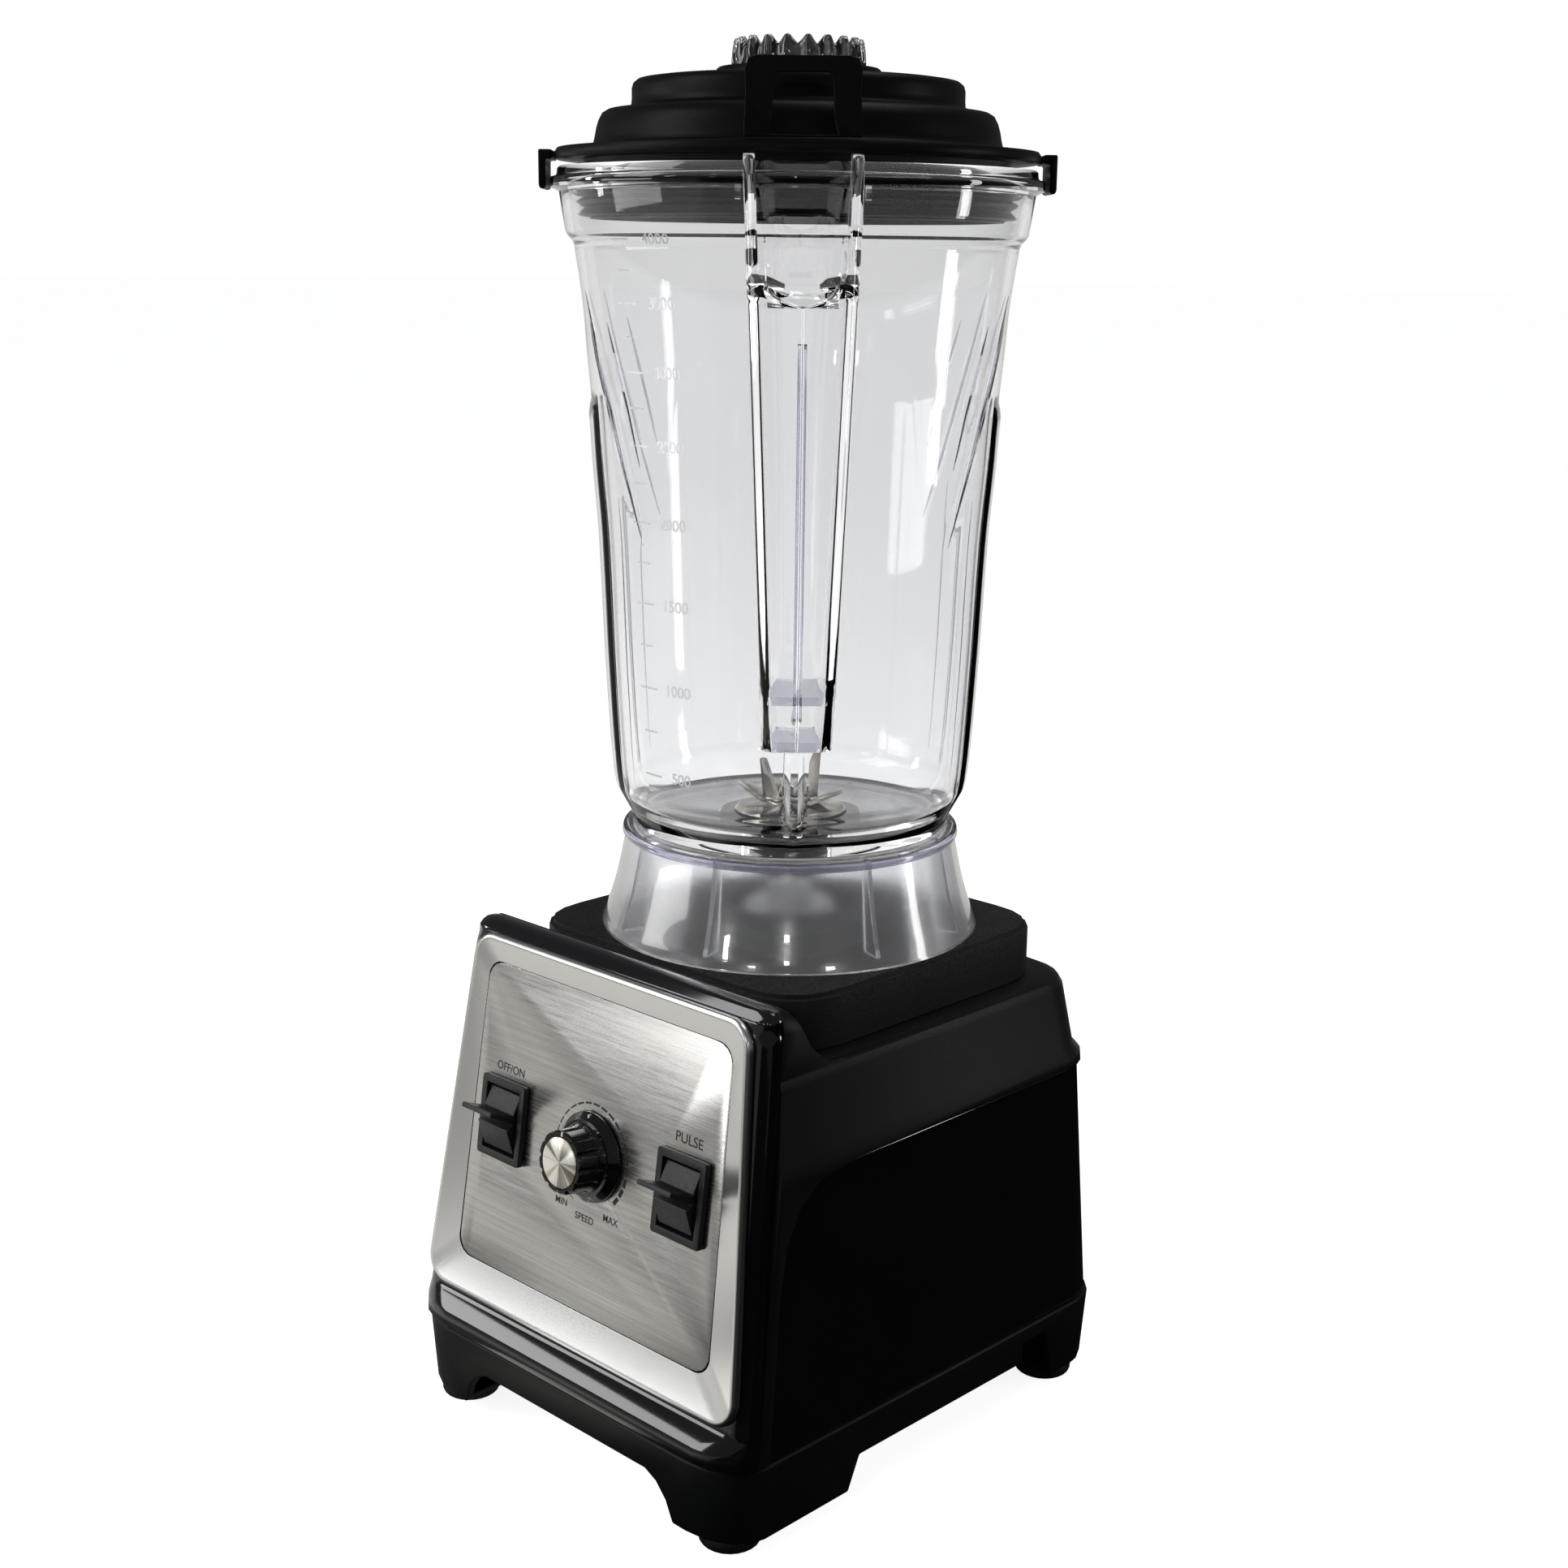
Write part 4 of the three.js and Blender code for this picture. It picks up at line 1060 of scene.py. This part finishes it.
@dataclass
class Jug:
    """The clear jug with its moulded side panels and marks, its handle and its skirt."""

    bench: Bench
    floor: float = 254.0
    floor_top: float = 257.2
    blade_hole: float = 17.3
    outside: Profile = field(
        default_factory=lambda: [
            (71.6, 270), (72.4, 275.5), (73.8, 291.4), (75.8, 325.8), (77.2, 359.7),
            (78.8, 392.8), (80.6, 425.4), (83.8, 457.5), (87.8, 487.4),
        ]
    )
    inside: Profile = field(
        default_factory=lambda: [
            (84.6, 488.8), (80.6, 457.5), (77.4, 425.4), (75.6, 392.8), (74, 359.7),
            (72.6, 325.8), (70.6, 291.4), (69, 274), (66.4, 265), (60, 259.2),
        ]
    )
    panel_out: float = 1.5  # how far the side panels stand out
    panel_side: Point = (18.5, 16.5)  # degrees from a panel's middle, from flush to full
    panel_top: Point = (429.0, 423.0)  # heights, from flush to full
    panel_foot: Point = (262.0, 274.0)
    leaf_out: float = 0.9  # how far the pointed leaf above each panel stands out
    leaf_blend: float = 2.6  # degrees
    leaf_top: Point = (470.0, 440.0)
    leaf_foot: Point = (372.0, 410.0)
    ridge_out: float = 2.6  # the ridge below the handle's foot
    marks_turn: float = -49.0  # degrees round from the handle
    figures_turn: float = -37.0

    def build(self) -> None:
        """Builds the jug's pieces."""
        self.build_body()
        self.build_edges()
        self.build_marks()
        Handle(self.bench).build()
        self.build_skirt()

    def build_body(self) -> None:
        """Builds the jug's wall, floor and collar, then presses its panels out."""
        profile = [
            (self.blade_hole, self.floor), (64.5, self.floor), (65.4, 254.8), (66.4, 258.4),
            *flowing(self.outside, 3.0),
            (88.6, 489.4), (90.2, 491.0), (91.2, 492.6), (92.4, 500), (93.6, 507.7), (95, 508.6),
            (97, 509.3), (97.3, 510), (97.3, 512.4), (96.8, 513.1), (94.9, 513.6), (94.4, 514.4),
            (94.2, 516.4), (93.6, 517), (91.0, 517), (90.5, 516.4), (90.2, 508), (89, 500),
            (88, 493.6), (86.6, 491.2),
            *flowing(self.inside, 3.0),
            (56, 257.8), (50, self.floor_top), (self.blade_hole, self.floor_top),
        ]
        made = reshaped(spun(profile, 320), self.pressed)
        name, node = "jug_body_moulded", ("jug_body",)
        self.bench.piece(name, made, "jug", CLEAR, Place.HANDLE, node, sharp=42)

    def relief(self, turn: float, height: float) -> float:
        """Says how far the wall is pressed out.

        Args:
            turn: Degrees round from the handle, from -180 to 180.
            height: Height, in millimetres.

        Returns:
            The distance outward, in millimetres.
        """
        off = abs(abs(turn) - 90)
        panel = eased(off, *self.panel_side) * eased(height, *self.panel_top)
        panel *= eased(height, *self.panel_foot)
        half = 16.0 + 25.0 * (471 - height) / 96  # the leaf widens downward, in degrees
        leaf = 1 - eased(off, half - self.leaf_blend, half + self.leaf_blend)
        leaf *= eased(height, *self.leaf_top) * eased(height, *self.leaf_foot)
        return self.panel_out * panel + self.leaf_out * leaf

    def pressed(self, point: Vector) -> Vector:
        """Presses the jug's wall out by the relief there.

        Args:
            point: A point of the jug.

        Returns:
            Its new place.
        """
        reach = math.hypot(point.x, point.y)
        if reach < 62 or not 258 < point.z < 488:
            return point
        turn = math.degrees(math.atan2(point.y, point.x))
        outer = reach > radius_at(self.outside, point.z) - 1.5
        out = self.relief(turn, point.z) * (1.0 if outer else 0.55)
        if outer:
            ridge = math.exp(-((turn * math.radians(1) * reach / 2.6) ** 4))
            out += self.ridge_out * ridge * eased(point.z, 308, 303) * eased(point.z, 261, 266)
        return pushed(point, out)

    def face(self, angle: float, height: float) -> float:
        """Returns the radius of the jug's pressed outside, at an angle in radians."""
        return radius_at(self.outside, height) + self.relief(math.degrees(angle), height)

    def wrapped(self, made: bmesh.types.BMesh, turn: float, height: float) -> bmesh.types.BMesh:
        """Wraps a flat XY piece onto the wall.

        Args:
            made: The piece, which stands out along Z.
            turn: Degrees round from the handle to its middle.
            height: Height of its middle.

        Returns:
            The same piece.
        """
        for vert in made.verts:
            z = height + vert.co.y
            angle = math.radians(turn) + vert.co.x / radius_at(self.outside, z)
            reach = self.face(angle, z) + vert.co.z
            vert.co = (reach * math.cos(angle), reach * math.sin(angle), z)
        return made

    def build_edges(self) -> None:
        """Builds the crisp moulded edges of the side panels: two slanting, two upright at each.
        They are tinted dark, as painted shade for the dark lines seen along the edges.
        """
        lines = (
            ((16.0, 470.0), (41.0, 375.0), 2.4),
            ((30.0, 459.0), (41.0, 405.0), 1.8),
            ((19.0, 412.0), (19.0, 272.0), 1.3),
            ((29.5, 392.0), (29.0, 276.0), 0.7),
        )
        strips = [
            self.edge_strip(centre, way, *line)
            for centre in (-90, 90)
            for way in (-1, 1)
            for line in lines
        ]
        made = joined(*strips)
        self.bench.piece("jug_moulded_edges", made, "jug", EDGE_PAINTED_SHADE, Place.HANDLE, sharp=60)

    def edge_strip(
        self, centre: float, way: int, start: Point, end: Point, wide: float
    ) -> bmesh.types.BMesh:
        """Builds one moulded edge, which tapers away at both ends.

        Args:
            centre: Degrees round from the handle to the panel's middle.
            way: The side of the middle that it lies on, -1 or 1.
            start: Degrees from the panel's middle, and height, of its upper end.
            end: The same of its lower end.
            wide: Its greatest width.

        Returns:
            A new bmesh.
        """
        steps = 36
        sunk = 0.12
        rings = []
        for i in range(steps + 1):
            share = i / steps
            off, z = (a + (b - a) * share for a, b in zip(start, end))
            swell = math.sin(math.pi * min(share * 1.2, 1 - (1 - share) * 0.8)) ** 0.7
            half = 0.08 + wide / 2 * swell
            turn = math.radians(centre + way * off)
            base = self.face(turn, z)
            ring = []
            for across, out in ((-1, -sunk), (-0.5, half * 0.45), (0.5, half * 0.45), (1, -sunk)):
                angle = turn + across * half / base
                ring.append(((base + out) * math.cos(angle), (base + out) * math.sin(angle)))
            rings.append((ring, z))
        return stacked(rings)

    def build_marks(self) -> None:
        """Builds the raised volume ticks and their faint numbers."""
        marks = []
        for i in range(15):
            height = 283.5 + 18 * i - 0.25 * i * (i - 1)  # closer as the jug widens
            half = 5.0 if i % 2 == 0 else 3.6
            bar = raised(rounded_rectangle(half, 0.35, 0.3, 2), -0.05, 0.3)
            parts = bar.verts[:] + bar.edges[:] + bar.faces[:]
            bmesh.ops.bisect_plane(bar, geom=parts, plane_no=(1, 0, 0))
            marks.append(self.wrapped(bar, self.marks_turn, height))
            if i % 2 == 0:
                figures = lettering(str(500 + 250 * i), 4.6, (0, 0, 0.08), 0.22)
                marks.append(self.wrapped(figures, self.figures_turn, height))
        self.bench.piece("volume_marks", joined(*marks), "jug", FROSTED, Place.HANDLE, sharp=30)

    def build_skirt(self) -> None:
        """Builds the flared skirt below the jug, with its fins and the bead round its top."""
        made = spun(
            [
                (76.9, 210.3), (79.2, 210.3), (79.5, 210.7), (79.2, 211.8), (78.3, 213.5),
                *flowing([(78.0, 214.5), (73.3, 229.6), (69.8, 246), (68.8, 252.6)], 3.0),
                (68.2, 253.6), (67.4, 253.7), (30, 253.7), (30, 250.2), (65.0, 250.2),
                (65.8, 249.6),
                *flowing([(66.3, 248), (67.2, 244), (70.6, 229.6), (75.5, 213.5)], 3.0),
            ],
            192,
        )
        side = [(66, 214), (76.0, 214), (71.3, 229.6), (67.9, 245), (66.4, 250.8), (62, 250.8)]
        for turn in (26.7, 63.3, 116.7, 153.3):
            for way in (-1, 1):
                fin = raised(side, -0.9, 0.9, across="XZ")
                moved(fin, Matrix.Rotation(math.radians(way * turn), 4, "Z"))
                made = joined(made, fin)
        name, node = "jug_skirt_flared", ("jug_skirt",)
        self.bench.piece(name, made, "jug", SMOKE, Place.HANDLE, node, sharp=42)
        bead = [(68.9, 252.8), (69.9, 252.6), (70.4, 251.4), (70.6, 249.9), (70, 249.2)]
        made = spun([*bead, (69.3, 249.4)], 160)
        self.bench.piece("jug_skirt_bead", made, "jug", SHELF_CLEAR, Place.HANDLE, sharp=60)


# ---- handle -----------------------------------------------------------------------------


@dataclass
class Handle:
    """The clear grip: a channel with a thumb pocket, a fork at its top and a foot on the wall."""

    bench: Bench
    wall: float = 4.2
    web: float = 4.5  # thickness of the front face
    thin_web: float = 3.2  # its thickness behind the pocket
    corner: float = 6.5
    half_top: float = 21.2
    half_foot: float = 13.2
    pocket_bottom: float = 467.5
    pocket_rise: float = 14.5  # how far up the pocket opens to its full width
    pocket_deep: float = 15.0
    top: float = 519.0
    foot: float = 305.0
    front: Profile = field(
        default_factory=lambda: [
            (101, 305), (107, 306.5), (112, 312), (116.5, 322), (120, 336), (122.8, 368),
            (125, 400), (126.9, 432), (128, 462), (127.6, 478), (126, 492), (122.8, 503),
            (118.5, 511), (113.5, 516), (109, 518.4), (106, 519),
        ]
    )
    back: Profile = field(
        default_factory=lambda: [
            (76.9, 305), (77.1, 328), (80, 330), (94, 333), (98, 352), (102, 400), (105, 462),
            (104, 478), (98.4, 486), (98.4, 519),
        ]
    )

    def build(self) -> None:
        """Builds the grip with its ribs and shelves, and dresses the screws."""
        low = [305, 306.5, 309, 313, 318, 323, 328, 330, 333, 338, 345, *range(352, 464, 8)]
        pocket = [464, 466, 467, 468, 469, 470.5, 472.5, 475, 478, 481, 483, 486, 488.5, 490, 491]
        fork = [491, 494, 498, 503, 507, 511, 514, 516.4, 518.2, 519]
        parts = [stacked([(self.section(z), z) for z in low + pocket])]
        for side in (-1, 1):
            parts.append(stacked([(self.arm(z, side), z) for z in fork]))
        inside = joined(self.rib(), self.shelf(308.0, 3.0), self.shelf(326.0, 3.2))
        for name, made, finish, nodes in (
            ("jug_handle_channel", joined(*parts), HANDLE_CLEAR, ("jug_handle",)),
            ("jug_handle_ribs", inside, SHELF_CLEAR, ()),
        ):
            self.bench.piece(name, made, "jug", finish, Place.HANDLE, nodes, sharp=34)
        self.bench.dress_nodes(
            STEEL, "handle_screw_left", "handle_screw_right", "handle_screw_lower"
        )

    def half(self, height: float) -> float:
        """Returns half the grip's width at a height."""
        rise = self.half_top - self.half_foot
        return self.half_foot + rise * (height - self.foot) / (self.top - self.foot)

    def section(self, height: float) -> list[Point]:
        """Draws the grip's level section.

        Args:
            height: The section's height.

        Returns:
            Its outline, as radius and width, the same number of points at each height.
        """
        half, corner = self.half(height), self.corner
        front, back = radius_at(self.front, height), radius_at(self.back, height)
        room = half - self.wall
        rise = min(1.0, (height - self.pocket_bottom) / self.pocket_rise)
        opened = math.sqrt(max(0.0, 1 - (1 - rise) ** 2)) if rise > 0 else 0.0
        pocket = max(0.4, room * opened)
        deep = 0.3 + self.pocket_deep * min(1.0, opened * 1.35)

        side: list[Point] = [(back, half)]
        for i in range(7):
            angle = math.radians(90 - 15 * i)
            x = front - corner + corner * math.cos(angle)
            side.append((x, half - corner + corner * math.sin(angle)))
        lip = min(half - corner - 0.5, pocket + 0.8)
        side += [(front + 0.5, max(lip, 0.9)), (front + 0.3, max(pocket, 0.5))]
        side += [(front - deep, pocket * 0.92), (front - deep - 0.2, pocket * 0.5)]

        web = front - max(self.web, deep + self.thin_web if opened else 0.0)
        flank = front - max(self.web, self.thin_web + deep * eased(opened, 0.5, 0.97))
        if web - 3 <= back + 0.5:  # the web meets the wall, so the hollow is closed
            web = flank = back + 0.5
            turn = (back + 0.2, back + 0.4)
        else:
            turn = (flank - 3, flank - 0.8)
        hollow = [(back, -room), (turn[0], -room), (turn[1], -room + 0.9)]
        hollow += [(flank, -room + 3), (web, -room * 0.4)]
        return [*side, *mirrored(side), *hollow, *mirrored(hollow)]

    def arm(self, height: float, side: int) -> list[Point]:
        """Draws one fork arm's level section above the pocket.

        Args:
            height: The section's height.
            side: Which arm, -1 or 1.

        Returns:
            Its outline, as radius and width.
        """
        half, front = self.half(height), radius_at(self.front, height)
        inner, back = half - self.wall, radius_at(self.back, height)
        line = [(back, inner), (front - 1.2, inner), (front - 0.3, inner + 0.6)]
        line += [(front, inner + 1.6), (front - 0.6, half - 1.6), (front - 2.4, half - 0.4)]
        line += [(front - 5, half), (back, half)]
        return [(x, side * y) for x, y in line]

    def rib(self) -> bmesh.types.BMesh:
        """Builds the thin rib down the inside of the grip.

        Returns:
            A new bmesh.
        """
        rings = []
        for height in (320, 321.5, 360, 400, 440, 453, 455):
            back = radius_at(self.front, height) - self.web - 0.1
            deep = 3.0 if height in (320, 455) else 11.0
            corners = [(back, -1.8), (back, 1.8), (back - deep, 0.6), (back - deep, -0.6)]
            rings.append((corners, height))
        return stacked(rings)

    def shelf(self, height: float, thick: float) -> bmesh.types.BMesh:
        """Builds a level shelf across the foot.

        Args:
            height: Its underside.
            thick: Its thickness.

        Returns:
            A new bmesh.
        """
        back = 78.5
        room = self.half(height) - self.wall - 0.1
        front = radius_at(self.front, height) - self.web - 0.2
        outline = [(back, -room), (front - 2, -room), (front, -room + 2), (front, room - 2)]
        return raised([*outline, (front - 2, room), (back, room)], height, height + thick)


# ---- blades -----------------------------------------------------------------------------


@dataclass
class BladeSet:
    """The blades, their nut and shaft, and the bearing housing that holds them."""

    bench: Bench

    def build(self) -> None:
        """Builds the blade set's pieces."""
        # The blades' blotchy colour is painted reflection.
        for node in ("blade_lower", "blade_upper"):
            self.bench.softened(node, POLISHED_WITH_PAINTED_REFLECTIONS, 0.25, 2)
        self.bench.softened("blade_nut", POLISHED_WITH_PAINTED_REFLECTIONS, 0.6)
        self.bench.softened("blade_bearing_housing", POLISHED_WITH_PAINTED_REFLECTIONS, 0.4)
        self.bench.softened("blade_retaining_nut", SATIN_SILVER, 0.5)
        self.bench.softened("drive_coupling", STEEL, 0.3)
        self.bench.dress_nodes(STEEL, "blade_shaft", "blade_bearing_upper", "blade_bearing_lower")
        self.bench.dress_nodes(LID_RUBBER, "blade_seal")


# ---- lid --------------------------------------------------------------------------------


@dataclass
class Lid:
    """The stepped black lid with its seal, pull loop and clips, and the clear filler cap."""

    bench: Bench
    flutes: int = 19
    flute_deep: float = 1.7
    notch_deep: float = 3.0

    def build(self) -> None:
        """Builds the lid's pieces."""
        self.build_cover()
        self.build_loop()
        for side in ("left", "right"):
            self.bench.softened("lid_latch_" + side, LID_RUBBER, 0.7)
        self.build_cap()

    def build_cover(self) -> None:
        """Builds the stepped cover and the ribbed seal under it."""
        cover = [
            (24.4, 532), (60, 528), (70, 524), (78.4, 516), (78.4, 498), (81.6, 498),
            (81.6, 516.8), (84, 519.8), (94.4, 519.8), (95, 520.4), (95, 522.8), (94.2, 524),
            (90, 524.4), (81.2, 525.0), (80.2, 525.8), (79.6, 528), (78.9, 531.6), (78.0, 534.6),
            (76.6, 537.2), (74.6, 538.4), (68, 539.2), (66, 539.7), (65.2, 540.8), (65, 543),
            (65, 546.6), (64.4, 548.6), (62.8, 549.9), (60, 550.3), (34, 550.6), (33, 551.0),
            (32.4, 552.2), (32, 554.4), (31.2, 555), (27.4, 555), (26.8, 554.4), (26.8, 541),
            (24.4, 541),
        ]
        seal = [
            (82, 499), (86.0, 499), (86.4, 499.5), (84, 501.8), (84, 502.3), (86.7, 504),
            (86.9, 504.8), (84, 506.8), (84, 507.3), (87.5, 509), (87.7, 509.9), (84, 511.8),
            (84, 515.6), (82, 515.6),
        ]
        for name, profile, node, sharp in (
            ("lid_cover_stepped", cover, "lid_cover", 46),
            ("lid_seal_ribbed", seal, "lid_seal", 50),
        ):
            made = spun(profile, 160)
            self.bench.piece(name, made, "lid", LID_RUBBER, Place.AXIS, (node,), sharp=sharp)

    def build_loop(self) -> None:
        """Builds the pull loop: a bar on two legs over the lid's edge."""
        outer = [(-21, 525.2), (21, 525.2), (20.4, 540), (20.6, 548), (19.4, 551.4), (16.4, 552.5)]
        inner = [(-12.4, 525.8), (12.4, 525.8), (11, 532), (10.6, 540), (10.4, 545), (9.2, 547)]
        for line in (outer, inner):
            line += [(-x, y) for x, y in reversed(line[2:])]
        back, front = 87.6, 92.0
        made = stacked([(outer, back), (outer, front), (inner, front), (inner, back)], ring=True)
        moved(made, Matrix(((0, 0, 1, 0), (1, 0, 0, 0), (0, 1, 0, 0), (0, 0, 0, 1))))
        name, node = "lid_pull_loop_rounded", ("lid_pull_loop",)
        self.bench.piece(name, made, "lid", LID_RUBBER, Place.HANDLE, node, 0.9)

    def build_cap(self) -> None:
        """Builds the clear filler cap, fluted outside and scalloped round its top."""
        profile = [
            (0, 531), (22.2, 531), (23.4, 531.6), (24, 533), (24, 541.6), (26.4, 541.6),
            *flowing([(26.4, 542.4), (26.2, 558), (25.4, 564.4)], 2.5),
            (24.9, 565.8), (22.4, 566), (21.9, 565.2), (21.8, 536.2), (21.2, 534.9), (20, 534.5),
            (0, 534.5),
        ]
        made = reshaped(spun(profile, 288, closed=False), self.scalloped)
        name, node = "filler_cap_fluted", ("filler_cap",)
        self.bench.piece(name, made, "filler_cap", CLEAR, Place.AXIS, node, sharp=50)

    def scalloped(self, point: Vector) -> Vector:
        """Presses flutes into the cap's outside and notches into its top.

        Args:
            point: A point of the cap.

        Returns:
            Its new place.
        """
        reach = math.hypot(point.x, point.y)
        if reach < 21.5 or point.z < 541:
            return point
        share = math.atan2(point.y, point.x) / FULL_TURN * self.flutes
        trough = 1 - (0.5 + 0.5 * math.cos(share * FULL_TURN))
        inward = self.flute_deep * trough * eased(reach, 22.5, 24.5) * eased(point.z, 552, 558)
        drop = self.notch_deep * trough * eased(point.z, 560, 566)
        return pushed(point, -inward, -drop)


# ---- studio -----------------------------------------------------------------------------


@dataclass
class Studio:
    """The pale floor, the soft lamps and the camera."""

    lens: float = 49.91
    azimuth: float = 44.092
    pitch: float = 13.786
    roll: float = 0.6313
    eye: Colour = (0.6159, -0.6274, 0.4862)
    ceiling_panels: tuple[tuple[float, float, float, float], ...] = (
        (-0.5, -1.9, 1.0, 0.2),
        (0.2, -2.0, 0.75, 0.12),
        (0.75, -1.9, 1.15, 0.18),
        (1.4, -1.5, 0.8, 0.1),
        (1.9, -0.7, 1.1, 0.2),
    )

    def build(self) -> None:
        """Sets up the studio."""
        self.build_camera()
        self.build_floor()
        self.build_world()
        self.lamp("key_softbox", (-1.1, -1.5, 1.5), 0.2, (0.9, 1.2), 14)
        self.lamp("top_softbox", (0.1, 0.5, 2.0), 0.3, (1.2, 0.8), 7)
        self.lamp("left_window", (-1.34, -0.67, 0.62), 0.4, (0.12, 0.34), 1.7)
        self.lamp("right_window", (1.15, 0.96, 0.5), 0.4, (0.16, 0.7), 3.4)
        self.lamp("low_softbox", (-1.25, -1.55, 0.35), 0.1, (1.1, 0.34), 5.2)
        for i, (x, y, z, wide) in enumerate(self.ceiling_panels):
            self.lamp(f"ceiling_panel_{i}", (x, y, z), 0.25, (wide, 0.05), 0.8)

    def build_camera(self) -> None:
        """Builds the camera: level turn, then pitch down, then a slight roll."""
        a, p, r = (math.radians(v) for v in (self.azimuth, self.pitch, self.roll))
        forward = Vector((-math.sin(a) * math.cos(p), math.cos(a) * math.cos(p), -math.sin(p)))
        right = Vector((math.cos(a), math.sin(a), 0))
        down = forward.cross(right)
        across = right * math.cos(r) - down * math.sin(r)
        below = right * math.sin(r) + down * math.cos(r)
        data = bpy.data.cameras.new("studio_camera")
        data.lens = self.lens
        data.sensor_width = 36
        camera = linked("studio_camera", data)
        turn = Matrix((across, -below, -forward)).transposed().to_4x4()
        camera.matrix_world = Matrix.Translation(self.eye) @ turn
        bpy.context.scene.camera = camera

    def build_floor(self) -> None:
        """Builds the plain pale floor, which shows a painted glow where it is seen in reflections.
        """
        made = bmesh.new()
        bmesh.ops.create_grid(made, x_segments=4, y_segments=4, size=30)
        mesh = bpy.data.meshes.new("studio_floor")
        made.to_mesh(mesh)
        made.free()
        floor = linked("studio_floor", mesh)
        nodes = NodeTree(bpy.data.materials.new("pale_floor"))
        speckle = nodes.noise(nodes.place(), 60.0).outputs[0]
        # Painted light: reflections see this glow in place of a lit floor.
        painted_reflected_floor = nodes.add(
            "Emission", {0: (1.0, 0.985, 0.94, 1), 1: self.floor_glow(nodes)}
        )
        inputs = {
            "Base Color": nodes.mixed(speckle, (0.92, 0.92, 0.92), (0.95, 0.95, 0.95)),
            "Roughness": 0.9,
            "Emission Color": (1, 1, 1, 1),
            "Emission Strength": 0.88,
        }
        pale = nodes.add("BsdfPrincipled", inputs).outputs[0]
        mix = {0: nodes.seen(), 1: painted_reflected_floor.outputs[0], 2: pale}
        mesh.materials.append(nodes.finish(nodes.add("MixShader", mix).outputs[0]))

    def floor_glow(self, nodes: NodeTree) -> Any:
        """Paints how bright the floor glows in reflections: a painted pool of light before the
        panel, with a smaller painted patch, dark at the sides and behind.

        Args:
            nodes: The floor's node tree.

        Returns:
            The brightness as an output socket.
        """
        ripple = nodes.noise(nodes.place(), 30.0).outputs[1]
        wave = {0: ripple, 1: (0.03, 0.03, 0)}
        wobble = nodes.add("VectorMath", wave, operation="MULTIPLY").outputs[0]
        spot = nodes.add("VectorMath", {0: nodes.place(), 1: wobble}, operation="ADD").outputs[0]
        x, y = nodes.add("SeparateXYZ", {0: spot}).outputs[:2]
        ahead = nodes.between(y, 1.0, 0.22, (-0.25, -0.2))
        beside = nodes.between(x, 1.0, 0.0, (-0.19, -0.15))
        lit = nodes.combined("MAXIMUM", ahead, beside)
        painted_light_patch = nodes.between(x, 0.0, 1.0, (-0.1, -0.085))
        for share in (
            nodes.between(x, 1.0, 0.03, (-0.06, 0.06)),
            nodes.between(y, 0.27, 0.68, (-0.46, -0.38)),
        ):
            lit = nodes.combined("MULTIPLY", lit, share)
        for share in (
            nodes.between(x, 1.0, 0.0, (0.005, 0.02)),
            nodes.between(y, 0.0, 1.3, (-0.2, -0.17)),
            nodes.between(y, 1.0, 0.0, (-0.14, -0.13)),
        ):
            painted_light_patch = nodes.combined("MULTIPLY", painted_light_patch, share)
        return nodes.combined("ADD", lit, painted_light_patch)

    def build_world(self) -> None:
        """Builds the white surround, which mirrors as a dimmer room."""
        world = bpy.data.worlds.new("studio_white")
        bpy.context.scene.world = world
        nodes = NodeTree(world)
        room = nodes.add("Background", {0: (0.93, 0.95, 1.0, 1), 1: 0.12}).outputs[0]
        white = nodes.add("Background", {0: (1, 1, 1, 1)}).outputs[0]
        mix = nodes.add("MixShader", {0: nodes.seen(), 1: room, 2: white})
        nodes.add("OutputWorld", {0: mix.outputs[0]})
        bpy.context.scene.view_settings.view_transform = "Standard"

    def lamp(self, name: str, place: Colour, aim: float, size: Point, power: float) -> None:
        """Adds a soft rectangular lamp that faces the blender.

        Args:
            name: Its name.
            place: Where it hangs, in metres.
            aim: The height that it faces, over the origin.
            size: Its width and height.
            power: Its power, in watts.
        """
        data = bpy.data.lights.new(name, "AREA")
        data.shape = "RECTANGLE"
        data.size, data.size_y = size
        data.energy = power
        toward = Vector((0, 0, aim)) - Vector(place)
        turn = toward.to_track_quat("-Z", "Y").to_matrix().to_4x4()
        linked(name, data).matrix_world = Matrix.Translation(place) @ turn


def main() -> None:
    """Builds the blender's looks piece by piece."""
    logging.basicConfig(level=logging.INFO, format="%(name)s: %(message)s")
    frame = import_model()
    bench = Bench(frame["nodes"])
    MotorBase(bench).build()
    ControlPanel(bench).build()
    Jug(bench).build()
    BladeSet(bench).build()
    Lid(bench).build()
    Studio().build()


if __name__ == "__main__":
    main()
